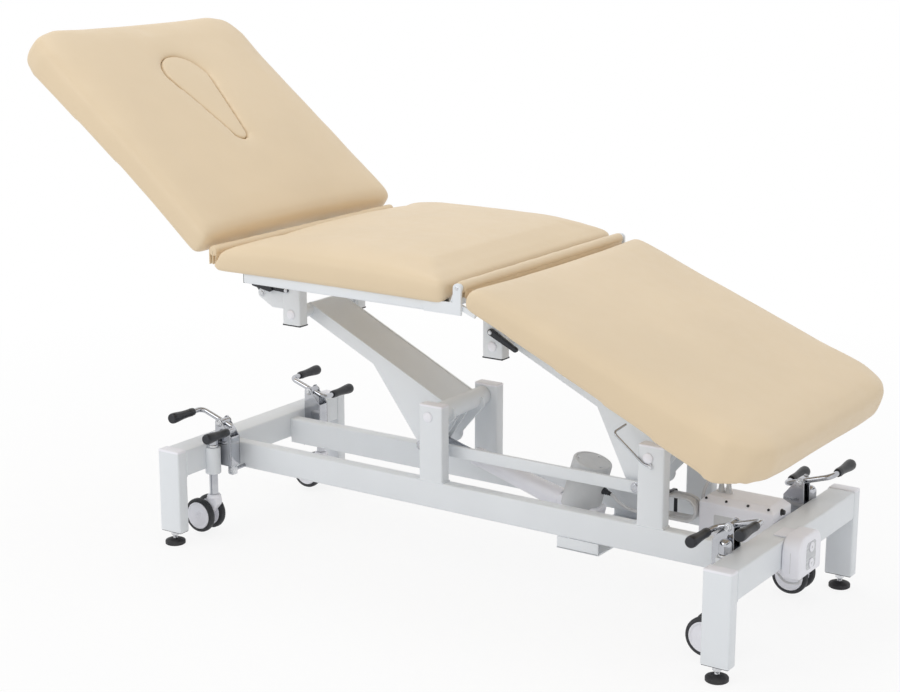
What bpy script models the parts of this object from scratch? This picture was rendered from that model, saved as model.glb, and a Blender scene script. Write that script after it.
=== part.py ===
"""Electric examination couch: three padded sections on a parallelogram lift.

Metres, +Z up, +X towards the foot end, -Y the near side, feet on z = 0.
The couch stands with its back raised and its leg section lowered.
"""
import math

import bmesh
import bpy
from mathutils import Matrix, Vector

# Fits
CLEAR = 0.0003
RUN = 0.0004
WELD = 0.001

# Base frame
BASE_X = 0.1480
LEG_SPACING = 1.364
BASE_WIDTH = 0.620
TUBE_WIDE = 0.060
TUBE_THIN = 0.030
LEG_BOTTOM = 0.030
LEG_TOP = 0.222
BEAM_DROP = 0.0005
RAIL_TOP = 0.208
RAIL_SPACING = 0.218
UPRIGHT_TOP = 0.378
UPRIGHT_SHIFT = 0.006
TUBE_BEVEL = 0.003

# Levelling feet
FOOT_RADIUS = 0.023
FOOT_HEIGHT = 0.009
FOOT_STEM_RADIUS = 0.005
FOOT_STEM_DEPTH = 0.020
FOOT_NUT_RADIUS = 0.009
FOOT_DOME = 0.005

# Castors and their pedals
CASTOR_SPACING_X = 1.290
CASTOR_SET_IN = 0.110
CASTOR_SPACING_Y = BASE_WIDTH - 2 * CASTOR_SET_IN
SLEEVE_RADIUS = 0.018
SLEEVE_LOW = 0.150
SLEEVE_TOP = 0.212
STEM_RADIUS = 0.010
STEM_LOW = 0.100
STEM_DOME_TOP = 0.247
SPIGOT_RADIUS = 0.006
SPIGOT_LENGTH = 0.022
FORK_RADIUS = 0.016
FORK_HALF = 0.010
FORK_NOSE_RADIUS = 0.014
TRAIL = 0.028
WHEEL_RADIUS = 0.040
WHEEL_WIDTH = 0.017
WHEEL_Z = 0.048
AXLE_RADIUS = 0.006
PEDAL_Z = 0.264
PEDAL_SET_IN = 0.005
PEDAL_TILT = math.radians(18)
PEDAL_OUTER = 0.068
PEDAL_INNER = 0.038
PEDAL_ROD_RADIUS = 0.006
PEDAL_BEND = 0.012
PEDAL_REACH = 0.090
PEDAL_BOSS_RADIUS = 0.009
PEDAL_PIN_RADIUS = 0.004
GRIP_RADIUS = 0.011
GRIP_START = 0.030
GRIP_END = 0.105
GRIP_LIP = 0.004
GRIP_NOSE = 0.006
BRACKET_GAP = 0.027
BRACKET_PLATE = 0.003
BRACKET_LOW = 0.165
BRACKET_DEPTH = 0.0375
BRACKET_FRONT = 0.0085
BRACKET_SIDE = 0.035
BRACKET_WEB_TOP = 0.235
BRACKET_ROUND = 0.012

# Lift
PIVOT_X = -0.099
PIVOT_Z = 0.352
PIVOT_SPACING = 0.533
ARM_RUN = 0.370
ARM_RISE = 0.178
ARM_WIDTH = 0.120
ARM_THICK = 0.030
GUSSET = 0.006
GUSSET_HEEL = 0.030
LEVER_ROOT_RADIUS = 0.019
LEVER_TIP_RADIUS = 0.016
LOWER_TUBE_RADIUS = 0.021
UPPER_TUBE_RADIUS = 0.015
PIVOT_PIN_RADIUS = 0.008
LEVER_X = -0.052
LEVER_Z = -0.084
LEVER_RADIUS = 0.022
LEVER_PLATE = 0.005
LEVER_GAP = 0.023
TIE_PIN_RADIUS = 0.006
TIE_BAR_THICK = 0.008
TIE_BAR_RADIUS = 0.013
TIE_BAR_GAP = 0.007

# Lift actuator
ACTUATOR_X = 0.275
ACTUATOR_Z = 0.150
MOUNT_LENGTH = 0.100
MOUNT_LOW = 0.122
MOUNT_PLATE = 0.004
MOUNT_EAR = 0.005
MOUNT_EAR_GAP = 0.024
MOUNT_PIN_RADIUS = 0.006
EYE_RADIUS = 0.013
REAR_EYE_RADIUS = 0.011
NECK_RADIUS = 0.009
MOUNT_EAR_RADIUS = 0.012
ROD_EYE_GAP = 0.002
CASE_TAPER = 0.8
CASE_START = 0.020
CASE_END = 0.117
CASE_SIZE = 0.052
MOTOR_RADIUS = 0.0425
MOTOR_LOW = 0.0065
MOTOR_HIGH = 0.118
MOTOR_PLACE = 0.070
MOTOR_OUTLET = 0.55
CYLINDER_RADIUS = 0.020
CYLINDER_END = 0.345
ROD_RADIUS = 0.010
ROD_START = 0.150
ROD_SPARE = 0.022

# Top: seat
SEAT_BOTTOM = 0.667
SEAT_TOP = 0.716
SEAT_ARCH = 0.016
SEAT_HEAD = -0.495
SEAT_FOOT = 0.088
CUSHION_WIDTH = 0.690
CROWN = 0.010
SOFT_EDGE = 0.016
UNDER_EDGE = 0.008
SEAT_CORNER_PULL = 0.016
DRAW_IN = 0.005
SQUARE_CORNER = 0.010
FRAME_TUBE = 0.025
SIDE_RAIL_Y = 0.315
SIDE_RAIL_HEAD = -0.430
SIDE_RAIL_FOOT = 0.075
DROP_WIDTH = 0.050
DROP_BELOW = 0.024
HEAD_CROSS_X = -0.4175
FOOT_CROSS_X = 0.060
LUG_PLATE = 0.006

# Top: back section and its hinge
BACK_HINGE_X = -0.518
BACK_HINGE_Z = 0.694
BACK_ANGLE = math.radians(39)
BACK_START = 0.022
BACK_LENGTH = 0.690
BACK_LOW = -0.028
BACK_HIGH = 0.038
BACK_HANG_START = 0.250
BACK_HANG = 0.045
BACK_RAIL_Y = 0.1525
BACK_RAIL_END = 0.600
BACK_CORNER = 0.078
HINGE_PLATE = 0.006
HINGE_HALF = 0.010
HINGE_ROUND = 0.012
HINGE_PIN_RADIUS = 0.005
PLUG_WIDE_S = 0.480
PLUG_WIDE_RADIUS = 0.066
PLUG_NARROW_S = 0.286
PLUG_NARROW_RADIUS = 0.022
PLUG_GAP = 0.0006

# Top: leg section and its padded hinge roll
LEG_HINGE_X = 0.114
LEG_HINGE_Z = 0.696
LEG_ANGLE = math.radians(21)
LEG_START = 0.022
LEG_LENGTH = 0.712
LEG_LOW = -0.028
LEG_HIGH = 0.021
LEG_RAIL_Y = 0.240
LEG_RAIL_END = 0.600
LEG_CROSS_S = 0.0425
LEG_EAR_Y = 0.3195
LEG_EAR_HALF = 0.008
LEG_EAR_ROUND = 0.0095
LEG_EAR_REACH = 0.055
LEG_STRIP = 0.012
LEG_HANG_START = 0.050
LEG_HANG = 0.056
LEG_CORNER = 0.110
ROLL_RADIUS = 0.012
ROLL_HALF = 0.3188
ROLL_PIN_DEPTH = 0.014
BACK_ROLL_RADIUS = 0.0115
BACK_ROLL_RISE = 0.007
BACK_ROLL_HALF = 0.325

# Gas springs
BACK_SPRING_X = -0.552
BACK_SPRING_Y = -0.109
BACK_SPRING_Z = 0.569
BACK_PLATE_LOW = 0.540
BACK_PLATE_TOP = 0.581
BACK_PLATE_CHAMFER = 0.028
BACK_SPRING_S = 0.300
LEG_SPRING_X = -0.020
LEG_SPRING_Y = 0.0
LEG_SPRING_Z = 0.600
LEG_SPRING_S = 0.280
SPRING_T = -0.065
SPRING_RADIUS = 0.011
SPRING_ROD_RADIUS = 0.005
SPRING_EYE_RADIUS = 0.010
SPRING_EYE_HALF = 0.006
SPRING_NECK = 0.012
SPRING_BODY_SHARE = 0.50
SPRING_BORE = 0.145
SPRING_INSERT = 0.055
SPRING_LUG_OFF = 0.0065

# Release levers
BACK_LEVER_SHIFT = -0.010
BACK_LEVER_RISE = 0.054
BACK_LEVER_ARM = 0.044
BACK_LEVER_LENGTH = 0.090
BACK_LEVER_LIFT = 0.006
BACK_ARM_RADIUS = 0.003
LEG_LEVER_RISE = 0.032
LEG_LEVER_LENGTH = 0.060
LEVER_ARM_RADIUS = 0.007
LEVER_SHAFT_RADIUS = 0.003
LEVER_SHAFT_LENGTH = 0.016
LEVER_NOSE_RADIUS = 0.005
LEVER_WIDE = 0.010

# Control box, hand control, hook and cables
BOX_LENGTH = 0.164
BOX_DEPTH = 0.088
BOX_LOW = 0.165
BOX_HIGH = 0.250
BOX_END_GAP = 0.002
BOX_BEVEL = 0.006
BOX_OUTLET = 0.030
BOX_OUTLET_SIDE = 0.020
HANDSET_Y = -0.0375
HANDSET_WIDTH = 0.103
HANDSET_DEPTH = 0.040
HANDSET_LOW = 0.148
HANDSET_HIGH = 0.232
HANDSET_ROUND = 0.030
HANDSET_HOOK = 0.003
BUTTON_RADIUS = 0.010
BUTTON_LENGTH = 0.006
BUTTON_PROUD = 0.003
BUTTON_PITCH = 0.033
BUTTON_Z = 0.188
HOOK_RADIUS = 0.0025
CABLE_RADIUS = 0.0035
HANDSET_CABLE_RADIUS = 0.0025
HOOK_ROUTE = ((0, 0, -0.016), (-0.020, 0, 0.002), (-0.070, 0, 0.050), (-0.074, 0.005, 0.056),
              (-0.074, 0.048, 0.062))
MOTOR_CABLE_OUT = 0.022
MOTOR_CABLE_LEAD = ((-0.108, -0.010, -0.006), (-0.078, -0.011, -0.018))
MOTOR_CABLE_RISE = ((-0.0054, -0.0137, -0.005), (0.0026, -0.0097, 0.020), (0.0146, -0.004, 0.034),
                    (0.0266, 0, 0.018), (0.028, 0, CLEAR))
HANK_X = 0.4146
HANK_Y = -0.002
HANK_Z = 0.213
HANK_HALF = 0.042
HANK_RADIUS = 0.0232
HANK_PITCH = 0.0088
HANK_LOOPS = 4
HANK_SWAY = 0.0012
LOOP_POINTS = 24
HANDSET_CABLE_FALL = ((0, 0, 0), (0, 0, -0.014), (0.014, -0.012, -0.032), (0.050, -0.032, -0.046))
HANDSET_CABLE_RISE = ((-0.032, 0.006, -0.030), (-0.004, 0, -0.024), (0, 0, -0.012), (0, 0, 0))

# Derived places
HALF_SPACING = LEG_SPACING / 2
END_FACE = HALF_SPACING - TUBE_WIDE / 2
RAIL_INNER = RAIL_SPACING / 2 - TUBE_THIN / 2
RAIL_OUTER = RAIL_SPACING / 2 + TUBE_THIN / 2
LIFT_LOW = (Vector((BASE_X + PIVOT_X, 0, PIVOT_Z)),
            Vector((BASE_X + PIVOT_X + PIVOT_SPACING, 0, PIVOT_Z)))
ARM = Vector((-ARM_RUN, 0, ARM_RISE))
LEVER = Vector((LEVER_X, 0, LEVER_Z))
LIFT_HIGH = tuple(low + ARM for low in LIFT_LOW)
FRAME_TOP = SEAT_BOTTOM - CLEAR
FRAME_LOW = FRAME_TOP - FRAME_TUBE
BACK_HINGE = Vector((BASE_X + BACK_HINGE_X, 0, BACK_HINGE_Z))
LEG_HINGE = Vector((BASE_X + LEG_HINGE_X, 0, LEG_HINGE_Z))
SIDES = (("near", -1), ("far", 1))
ENDS = (("head", -1), ("foot", 1))

for old in list(bpy.data.objects):
    bpy.data.objects.remove(old)
PARTS = bpy.data.collections.new("examination_couch")
bpy.context.scene.collection.children.link(PARTS)


def material(name, colour, roughness, metallic=0.0):
    """A Principled BSDF with one finish."""
    made = bpy.data.materials.new(name)
    made.use_nodes = True
    shader = made.node_tree.nodes["Principled BSDF"]
    shader.inputs["Base Color"].default_value = (*colour, 1)
    shader.inputs["Roughness"].default_value = roughness
    shader.inputs["Metallic"].default_value = metallic
    return made


WHITE_COAT = material("white_coat", (0.74, 0.76, 0.77), 0.35)
CREAM_VINYL = material("cream_vinyl", (0.80, 0.66, 0.48), 0.45)
CHROME = material("chrome", (0.75, 0.76, 0.78), 0.12, 1.0)
BLACK_RUBBER = material("black_rubber", (0.02, 0.02, 0.025), 0.6)
BLACK_PLASTIC = material("black_plastic", (0.025, 0.025, 0.03), 0.4)
BLACK_PAINT = material("black_paint", (0.03, 0.03, 0.03), 0.3)
WHITE_PLASTIC = material("white_plastic", (0.80, 0.80, 0.84), 0.4)
TYRE = material("tyre", (0.03, 0.03, 0.03), 0.55)
GREY_CABLE = material("grey_cable", (0.62, 0.62, 0.62), 0.5)


def as_mesh(obj, weld=True):
    """Replace an object by a mesh of its evaluated shape, welded if asked, with its faces outwards."""
    bpy.context.view_layer.update()
    depsgraph = bpy.context.evaluated_depsgraph_get()
    mesh = bpy.data.meshes.new_from_object(obj.evaluated_get(depsgraph))
    made = bpy.data.objects.new(obj.name, mesh)
    made.matrix_world = obj.matrix_world.copy()
    bpy.context.scene.collection.objects.link(made)
    bpy.data.objects.remove(obj)
    shape = bmesh.new()
    shape.from_mesh(mesh)
    if weld:
        bmesh.ops.remove_doubles(shape, verts=shape.verts, dist=1e-6)
    bmesh.ops.recalc_face_normals(shape, faces=shape.faces)
    shape.to_mesh(mesh)
    shape.free()
    return made


def box(low, high, bevel=0.0):
    """A block between two corners, with its edges rounded where a bevel is given."""
    low, high = Vector(low), Vector(high)
    bpy.ops.mesh.primitive_cube_add(size=1, location=(low + high) / 2)
    made = bpy.context.object
    made.data.transform(Matrix.Diagonal((*(high - low), 1)))
    if bevel:
        rounding = made.modifiers.new("edges", "BEVEL")
        rounding.width = bevel
        rounding.segments = 1
        made = as_mesh(made)
    return made


def rod(start, end, radius, sides=16):
    """A round bar between two points."""
    start, end = Vector(start), Vector(end)
    along = end - start
    bpy.ops.mesh.primitive_cylinder_add(vertices=sides, radius=radius, depth=along.length)
    made = bpy.context.object
    turn = along.to_track_quat("Z", "Y").to_matrix().to_4x4()
    made.matrix_world = Matrix.Translation((start + end) / 2) @ turn
    return made


def slab(outline, axis, low, high):
    """An outline extruded along X, Y or Z; its two coordinates are the other axes in order."""
    curve = bpy.data.curves.new("outline", "CURVE")
    curve.dimensions = "2D"
    curve.fill_mode = "BOTH"
    curve.extrude = (high - low) / 2
    spline = curve.splines.new("POLY")
    spline.points.add(len(outline) - 1)
    for point, (across, up) in zip(spline.points, outline):
        point.co = (across, up, 0, 1)
    spline.use_cyclic_u = True
    made = bpy.data.objects.new("outline", curve)
    bpy.context.scene.collection.objects.link(made)
    middle = (low + high) / 2
    frames = {"X": Matrix(((0, 0, 1, middle), (1, 0, 0, 0), (0, 1, 0, 0), (0, 0, 0, 1))),
              "Y": Matrix(((1, 0, 0, 0), (0, 0, -1, middle), (0, 1, 0, 0), (0, 0, 0, 1))),
              "Z": Matrix.Translation((0, 0, middle))}
    made.matrix_world = frames[axis]
    return as_mesh(made)


def turned(profile, place, sides=16):
    """A solid of revolution about Z from (radius, height) points that start and end on the axis."""
    mesh = bpy.data.meshes.new("profile")
    points = [(radius, 0, height) for radius, height in reversed(profile)]
    mesh.from_pydata(points, [(i, i + 1) for i in range(len(points) - 1)], [])
    made = bpy.data.objects.new("profile", mesh)
    bpy.context.scene.collection.objects.link(made)
    made.location = place
    screw = made.modifiers.new("turn", "SCREW")
    screw.steps = sides
    screw.render_steps = sides
    screw.use_merge_vertices = True
    screw.merge_threshold = 1e-5
    return as_mesh(made)


def tube(points, radius, ring=1):
    """A round wire or cable through points, with closed ends."""
    curve = bpy.data.curves.new("wire", "CURVE")
    curve.dimensions = "3D"
    curve.bevel_depth = radius
    curve.bevel_resolution = ring
    curve.use_fill_caps = True
    spline = curve.splines.new("POLY")
    spline.points.add(len(points) - 1)
    for point, place in zip(spline.points, points):
        point.co = (*place, 1)
    made = bpy.data.objects.new("wire", curve)
    bpy.context.scene.collection.objects.link(made)
    return as_mesh(made)


def combine(solid, others, operation):
    """Boolean a list of solids with the first, which is replaced by the result."""
    for other in others:
        step = solid.modifiers.new("step", "BOOLEAN")
        step.operation = operation
        step.solver = "EXACT"
        step.object = other
    made = as_mesh(solid, weld=False)
    for other in others:
        bpy.data.objects.remove(other)
    return made


def join(solids):
    return combine(solids[0], solids[1:], "UNION")


def cut(solid, cutters):
    return combine(solid, cutters, "DIFFERENCE")


def axis_empty(name, place):
    """The empty that carries a moving body, on its joint's axis."""
    made = bpy.data.objects.new(name, None)
    made.location = place
    PARTS.objects.link(made)
    bpy.context.view_layer.update()
    return made


def piece(obj, name, finish, carrier=None, smooth=35):
    """Name a finished solid, give it its material and put it on what carries it."""
    obj.name = name
    obj.data.name = name
    obj.data.materials.clear()
    obj.data.materials.append(finish)
    obj.data.shade_smooth()
    obj.data.set_sharp_from_angle(angle=math.radians(smooth))
    for collection in list(obj.users_collection):
        collection.objects.unlink(obj)
    PARTS.objects.link(obj)
    bpy.context.view_layer.update()
    if carrier:
        obj.parent = carrier
        obj.matrix_parent_inverse = carrier.matrix_world.inverted()
    return obj


def arc(centre, radius, start, end, steps):
    """Points on an arc between two angles in degrees."""
    turns = [math.radians(start + (end - start) * i / steps) for i in range(steps + 1)]
    return [(centre[0] + radius * math.cos(t), centre[1] + radius * math.sin(t)) for t in turns]


def link_outline(first, second, first_radius, second_radius, steps=6):
    """The outline of a bar with two round ends."""
    across, up = second[0] - first[0], second[1] - first[1]
    length = math.hypot(across, up)
    heading = math.degrees(math.atan2(up, across))
    lean = math.degrees(math.acos((first_radius - second_radius) / length))
    return (arc(second, second_radius, heading - lean, heading + lean, steps)
            + arc(first, first_radius, heading + lean, heading + 360 - lean, steps))


def flat(point):
    """A point's X and Z, for an outline in the side view."""
    return (point[0], point[2])


def smooth_route(points, spacing):
    """Points at an even spacing on a smooth curve through a route's own points."""
    ends = [2 * points[0] - points[1]] + points + [2 * points[-1] - points[-2]]
    fine = []
    for a, b, c, d in zip(ends, ends[1:], ends[2:], ends[3:]):
        for i in range(16):
            t = i / 16
            fine.append(0.5 * (2 * b + (c - a) * t + (2 * a - 5 * b + 4 * c - d) * t ** 2
                               + (3 * b - a - 3 * c + d) * t ** 3))
    fine.append(points[-1])
    length = sum((q - p).length for p, q in zip(fine, fine[1:]))
    count = max(2, round(length / spacing))
    route, walked, target = [fine[0]], 0.0, length / count
    for p, q in zip(fine, fine[1:]):
        step = (q - p).length
        while walked + step >= target * len(route) and len(route) < count:
            route.append(p.lerp(q, (target * len(route) - walked) / step))
        walked += step
    return route + [fine[-1]]


def cushion(low, high, corners, crown, hang=None, arch=0.0, points=0.0, cuts=8):
    """A padded block: flat underneath, crowned on top, its sides drawn in between the corners.

    corners gives the plan radius at the low-X end and at the high-X end. hang tells how far the side edges
    hang below the flat underside at an X. arch lifts the top between the ends, and points is how far the
    lower corners reach past the low-X end.
    """
    low, high = Vector(low), Vector(high)
    middle, half = (low + high) / 2, (high - low) / 2
    bpy.ops.mesh.primitive_cube_add(size=2)
    made = bpy.context.object
    shape = bmesh.new()
    shape.from_mesh(made.data)
    bmesh.ops.subdivide_edges(shape, edges=shape.edges, cuts=cuts, use_grid_fill=True)
    for vert in shape.verts:
        u, v, w = (math.sin(part * math.pi / 2) for part in vert.co)
        rim = max(abs(u), abs(v)) ** 6
        x = u * (half.x - DRAW_IN * (1 - v * v))
        y = v * (half.y - DRAW_IN * (1 - u * u))
        radius = corners[1] if u > 0 else corners[0]
        over_x = abs(x) - (half.x - radius)
        over_y = abs(y) - (half.y - radius)
        if over_x > 0 and over_y > 0:
            pull = max(over_x, over_y) / math.hypot(over_x, over_y)
            x = math.copysign(half.x - radius + over_x * pull, x)
            y = math.copysign(half.y - radius + over_y * pull, y)
        tuck = (SOFT_EDGE if w > 0 else UNDER_EDGE) * abs(w) ** 4 * rim
        x -= math.copysign(min(tuck, abs(x)), x) * (abs(u) ** 6)
        y -= math.copysign(min(tuck, abs(y)), y) * (abs(v) ** 6)
        swell = crown * (1 - u * u) * (1 - v * v) + arch * (1 - u ** 4)
        z = w * half.z
        if w > 0:
            z += w * (swell - 0.3 * SOFT_EDGE * rim)
        else:
            end, side = (min(1, max(0, (abs(part) - 0.8) / 0.13)) for part in (u, v))
            z -= max(0.7 * end, side) * abs(w) ** 1.5 * (hang(middle.x + x) if hang else 0)
            if u < 0:
                x -= points * min(end, side) * min(1, -2 * w)
        vert.co = middle + Vector((x, y, z))
    shape.to_mesh(made.data)
    shape.free()
    return as_mesh(made)


def end_frame(end, sign):
    """Cross beam, two legs, castor sleeves and pedal brackets at one end."""
    x = BASE_X + sign * HALF_SPACING
    half_x, side = TUBE_WIDE / 2, BASE_WIDTH / 2
    beam_top = LEG_TOP - BEAM_DROP
    inner = side - TUBE_THIN
    solids = [box((x - half_x + BEAM_DROP, -inner - WELD, beam_top - TUBE_WIDE),
                  (x + half_x - BEAM_DROP, inner + WELD, beam_top))]
    cutters = []
    for _, way in SIDES:
        near_face, far_face = sorted((way * inner, way * side))
        solids.append(box((x - half_x, near_face, LEG_BOTTOM), (x + half_x, far_face, LEG_TOP), TUBE_BEVEL))
        stem = Vector((BASE_X + sign * CASTOR_SPACING_X / 2, way * CASTOR_SPACING_Y / 2, 0))
        solids.append(rod(stem + Vector((0, 0, SLEEVE_LOW)), stem + Vector((0, 0, SLEEVE_TOP)),
                          SLEEVE_RADIUS))
        solids += pedal_bracket(stem, sign)
        cutters.append(rod(stem, stem + Vector((0, 0, LEG_TOP + SLEEVE_TOP)), STEM_RADIUS + RUN))
        foot = Vector((x, way * (side - TUBE_THIN / 2), 0))
        cutters.append(rod(foot, foot + Vector((0, 0, LEG_BOTTOM + FOOT_STEM_DEPTH + WELD)),
                           FOOT_STEM_RADIUS + RUN, 12))
        pivot = pedal_pivot(stem, sign)
        reach = Vector((0, BRACKET_GAP, 0))
        cutters.append(rod(pivot - reach, pivot + reach, PEDAL_PIN_RADIUS + RUN, 12))
    piece(cut(join(solids), cutters), f"{end}_end_frame", WHITE_COAT)


def pedal_pivot(stem, sign):
    """The middle of a pedal's pin, beside the castor's sleeve on the side of the couch's middle."""
    return Vector((stem.x - sign * PEDAL_SET_IN, stem.y - math.copysign(BRACKET_SIDE, stem.y), PEDAL_Z))


def pedal_bracket(stem, sign):
    """A channel on the beam's inner face: two cheeks for the pedal pin and a low web."""
    pivot = pedal_pivot(stem, sign)
    back_edge = stem.x - sign * BRACKET_DEPTH
    inside = BRACKET_GAP / 2
    front_edge = stem.x + sign * BRACKET_FRONT
    outline = [(back_edge, BRACKET_LOW), (front_edge, BRACKET_LOW), (front_edge, SLEEVE_TOP)]
    outline += arc((pivot.x, pivot.z), BRACKET_ROUND, 90 - sign * 90, 90, 4)
    outline.append((back_edge, BRACKET_WEB_TOP))
    outline = outline[::sign]
    web = sorted((back_edge + sign * BEAM_DROP, back_edge + sign * BRACKET_PLATE))
    web_low, web_top = BRACKET_LOW + BEAM_DROP, BRACKET_WEB_TOP - BEAM_DROP
    outer = inside + BRACKET_PLATE
    return [slab(outline, "Y", pivot.y - outer, pivot.y - inside),
            slab(outline, "Y", pivot.y + inside, pivot.y + outer),
            box((web[0], pivot.y - inside - WELD, web_low), (web[1], pivot.y + inside + WELD, web_top))]


def side_frame(side, way):
    """A rail with two uprights, bored for the lift arms' pins."""
    near_face, far_face = sorted((way * RAIL_INNER, way * RAIL_OUTER))
    reach = END_FACE - CLEAR
    solids = [box((BASE_X - reach, near_face, RAIL_TOP - TUBE_WIDE), (BASE_X + reach, far_face, RAIL_TOP))]
    cutters = []
    for low in LIFT_LOW:
        x = low.x + UPRIGHT_SHIFT
        solids.append(box((x - TUBE_WIDE / 2, near_face + BEAM_DROP, RAIL_TOP - WELD),
                          (x + TUBE_WIDE / 2, far_face - BEAM_DROP, UPRIGHT_TOP), TUBE_BEVEL))
        cutters.append(rod(low + Vector((0, near_face - WELD, 0)), low + Vector((0, far_face + WELD, 0)),
                           PIVOT_PIN_RADIUS + RUN))
    piece(cut(join(solids), cutters), f"{side}_side_frame", WHITE_COAT)


def levelling_foot(end, sign, side, way):
    place = Vector((BASE_X + sign * HALF_SPACING, way * (BASE_WIDTH - TUBE_THIN) / 2, 0))
    nut_top = LEG_BOTTOM - CLEAR
    nut_low = nut_top - FOOT_NUT_RADIUS
    stem_top = LEG_BOTTOM + FOOT_STEM_DEPTH
    dome_top = FOOT_HEIGHT + FOOT_DOME
    profile = [(0, 0), (FOOT_RADIUS, 0), (FOOT_RADIUS, FOOT_HEIGHT), (FOOT_NUT_RADIUS, dome_top),
               (FOOT_STEM_RADIUS, dome_top + WELD), (FOOT_STEM_RADIUS, nut_low), (FOOT_NUT_RADIUS, nut_low),
               (FOOT_NUT_RADIUS, nut_top), (FOOT_STEM_RADIUS, nut_top), (FOOT_STEM_RADIUS, stem_top),
               (0, stem_top)]
    piece(turned(profile, place, 14), f"levelling_foot_{side}_{end}", BLACK_RUBBER,
          axis_empty(f"foot_axis_{side}_{end}", place))


def castor(end, sign, side, way):
    """Sliding stem, swivelling fork and a pair of wheels on one axle."""
    label = f"{side}_{end}"
    stem = Vector((BASE_X + sign * CASTOR_SPACING_X / 2, way * CASTOR_SPACING_Y / 2, 0))
    dome = [(STEM_RADIUS * math.cos(math.radians(a)),
             STEM_DOME_TOP - STEM_RADIUS * (1 - math.sin(math.radians(a)))) for a in (0, 30, 60)]
    spigot_low = STEM_LOW - SPIGOT_LENGTH
    profile = [(0, spigot_low), (SPIGOT_RADIUS, spigot_low), (SPIGOT_RADIUS, STEM_LOW)]
    profile.append((STEM_RADIUS, STEM_LOW))
    profile += dome + [(0, STEM_DOME_TOP)]
    slide = axis_empty(f"stem_axis_{label}", stem)
    piece(turned(profile, stem), f"castor_stem_{label}", CHROME, slide)

    axle = stem + Vector((-TRAIL, 0, WHEEL_Z))
    neck_top = STEM_LOW - CLEAR
    outline = link_outline((stem.x, neck_top - FORK_RADIUS), flat(axle), FORK_RADIUS, FORK_NOSE_RADIUS)
    hood = slab(outline, "Y", stem.y - FORK_HALF, stem.y + FORK_HALF)
    neck_low = neck_top - 2 * FORK_RADIUS
    neck = rod(stem + Vector((0, 0, neck_low)), stem + Vector((0, 0, neck_top)), FORK_RADIUS)
    across = Vector((0, 2 * FORK_RADIUS, 0))
    bores = [rod(axle - across, axle + across, AXLE_RADIUS + RUN, 12),
             rod(stem + Vector((0, 0, spigot_low - WELD)), stem + Vector((0, 0, STEM_LOW + WELD)),
                 SPIGOT_RADIUS + RUN, 12)]
    swivel = axis_empty(f"swivel_axis_{label}", stem + Vector((0, 0, STEM_LOW)))
    swivel.parent = slide
    swivel.matrix_parent_inverse = slide.matrix_world.inverted()
    flank = []
    for way_y in (-1, 1):
        y = way_y * (FORK_HALF + FORK_RADIUS)
        flank.append(box(axle + Vector((-3 * FORK_RADIUS, y - FORK_RADIUS, -FORK_RADIUS)),
                         axle + Vector((3 * TRAIL, y + FORK_RADIUS, WHEEL_RADIUS + 2 * WELD))))
    fork = cut(join([hood, neck]), bores + flank)
    piece(fork, f"castor_fork_{label}", WHITE_PLASTIC, swivel)

    gap = FORK_HALF + RUN
    wheels = [rod(axle + Vector((0, -gap - WELD, 0)), axle + Vector((0, gap + WELD, 0)), AXLE_RADIUS, 12)]
    for way_y in (-1, 1):
        inner, outer = sorted((way_y * gap, way_y * (gap + WHEEL_WIDTH)))
        wheels.append(rod(axle + Vector((0, inner, 0)), axle + Vector((0, outer, 0)), WHEEL_RADIUS, 24))
    spin = axis_empty(f"wheel_axis_{label}", axle)
    spin.parent = swivel
    spin.matrix_parent_inverse = swivel.matrix_world.inverted()
    piece(join(wheels), f"castor_wheels_{label}", TYRE, spin)


def pedal(end, sign, side, way):
    """A bent rod on a pivot pin, with a grip on each outward leg; modelled level, then tilted."""
    label = f"{side}_{end}"
    stem = Vector((BASE_X + sign * CASTOR_SPACING_X / 2, way * CASTOR_SPACING_Y / 2, 0))
    pivot = pedal_pivot(stem, sign)
    carrier = axis_empty(f"pedal_axis_{label}", pivot)
    corners = ((sign * PEDAL_OUTER, 1), (-sign * PEDAL_INNER, -1))
    route = []
    for x, order in corners:
        inward = -math.copysign(PEDAL_BEND, x)
        bend = [Vector((x + inward * (1 - math.cos(t)), way * PEDAL_BEND * (1 - math.sin(t)), 0))
                for t in (math.pi / 2 * i / 4 for i in range(5))]
        leg = [Vector((x, way * PEDAL_REACH, 0))] + bend
        route += leg if order > 0 else leg[::-1]
    wire = tube([pivot + p for p in route], PEDAL_ROD_RADIUS)
    boss_half = BRACKET_GAP / 2 - RUN
    pin_half = BRACKET_GAP / 2 + BRACKET_PLATE + WELD
    boss = rod(pivot - Vector((0, boss_half, 0)), pivot + Vector((0, boss_half, 0)), PEDAL_BOSS_RADIUS)
    pin = rod(pivot - Vector((0, pin_half, 0)), pivot + Vector((0, pin_half, 0)), PEDAL_PIN_RADIUS, 12)
    piece(join([boss, wire, pin]), f"pedal_{label}", CHROME, carrier)
    bore = PEDAL_ROD_RADIUS + RUN
    floor = PEDAL_REACH + CLEAR
    profile = [(0, floor), (bore, floor), (bore, GRIP_START), (GRIP_RADIUS - GRIP_LIP / 2, GRIP_START),
               (GRIP_RADIUS, GRIP_START + GRIP_LIP), (GRIP_RADIUS, GRIP_END - GRIP_NOSE),
               (GRIP_RADIUS * 0.7, GRIP_END - WELD), (0, GRIP_END)]
    for (x, _), word in zip(corners, ("outer", "inner")):
        grip = turned(profile, (0, 0, 0), 12)
        grip.matrix_world = (Matrix.Translation(pivot + Vector((x, 0, 0)))
                             @ Matrix.Rotation(-way * math.pi / 2, 4, "X"))
        piece(grip, f"pedal_grip_{word}_{label}", BLACK_PLASTIC, carrier)
    carrier.rotation_euler.y = -sign * PEDAL_TILT


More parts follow.
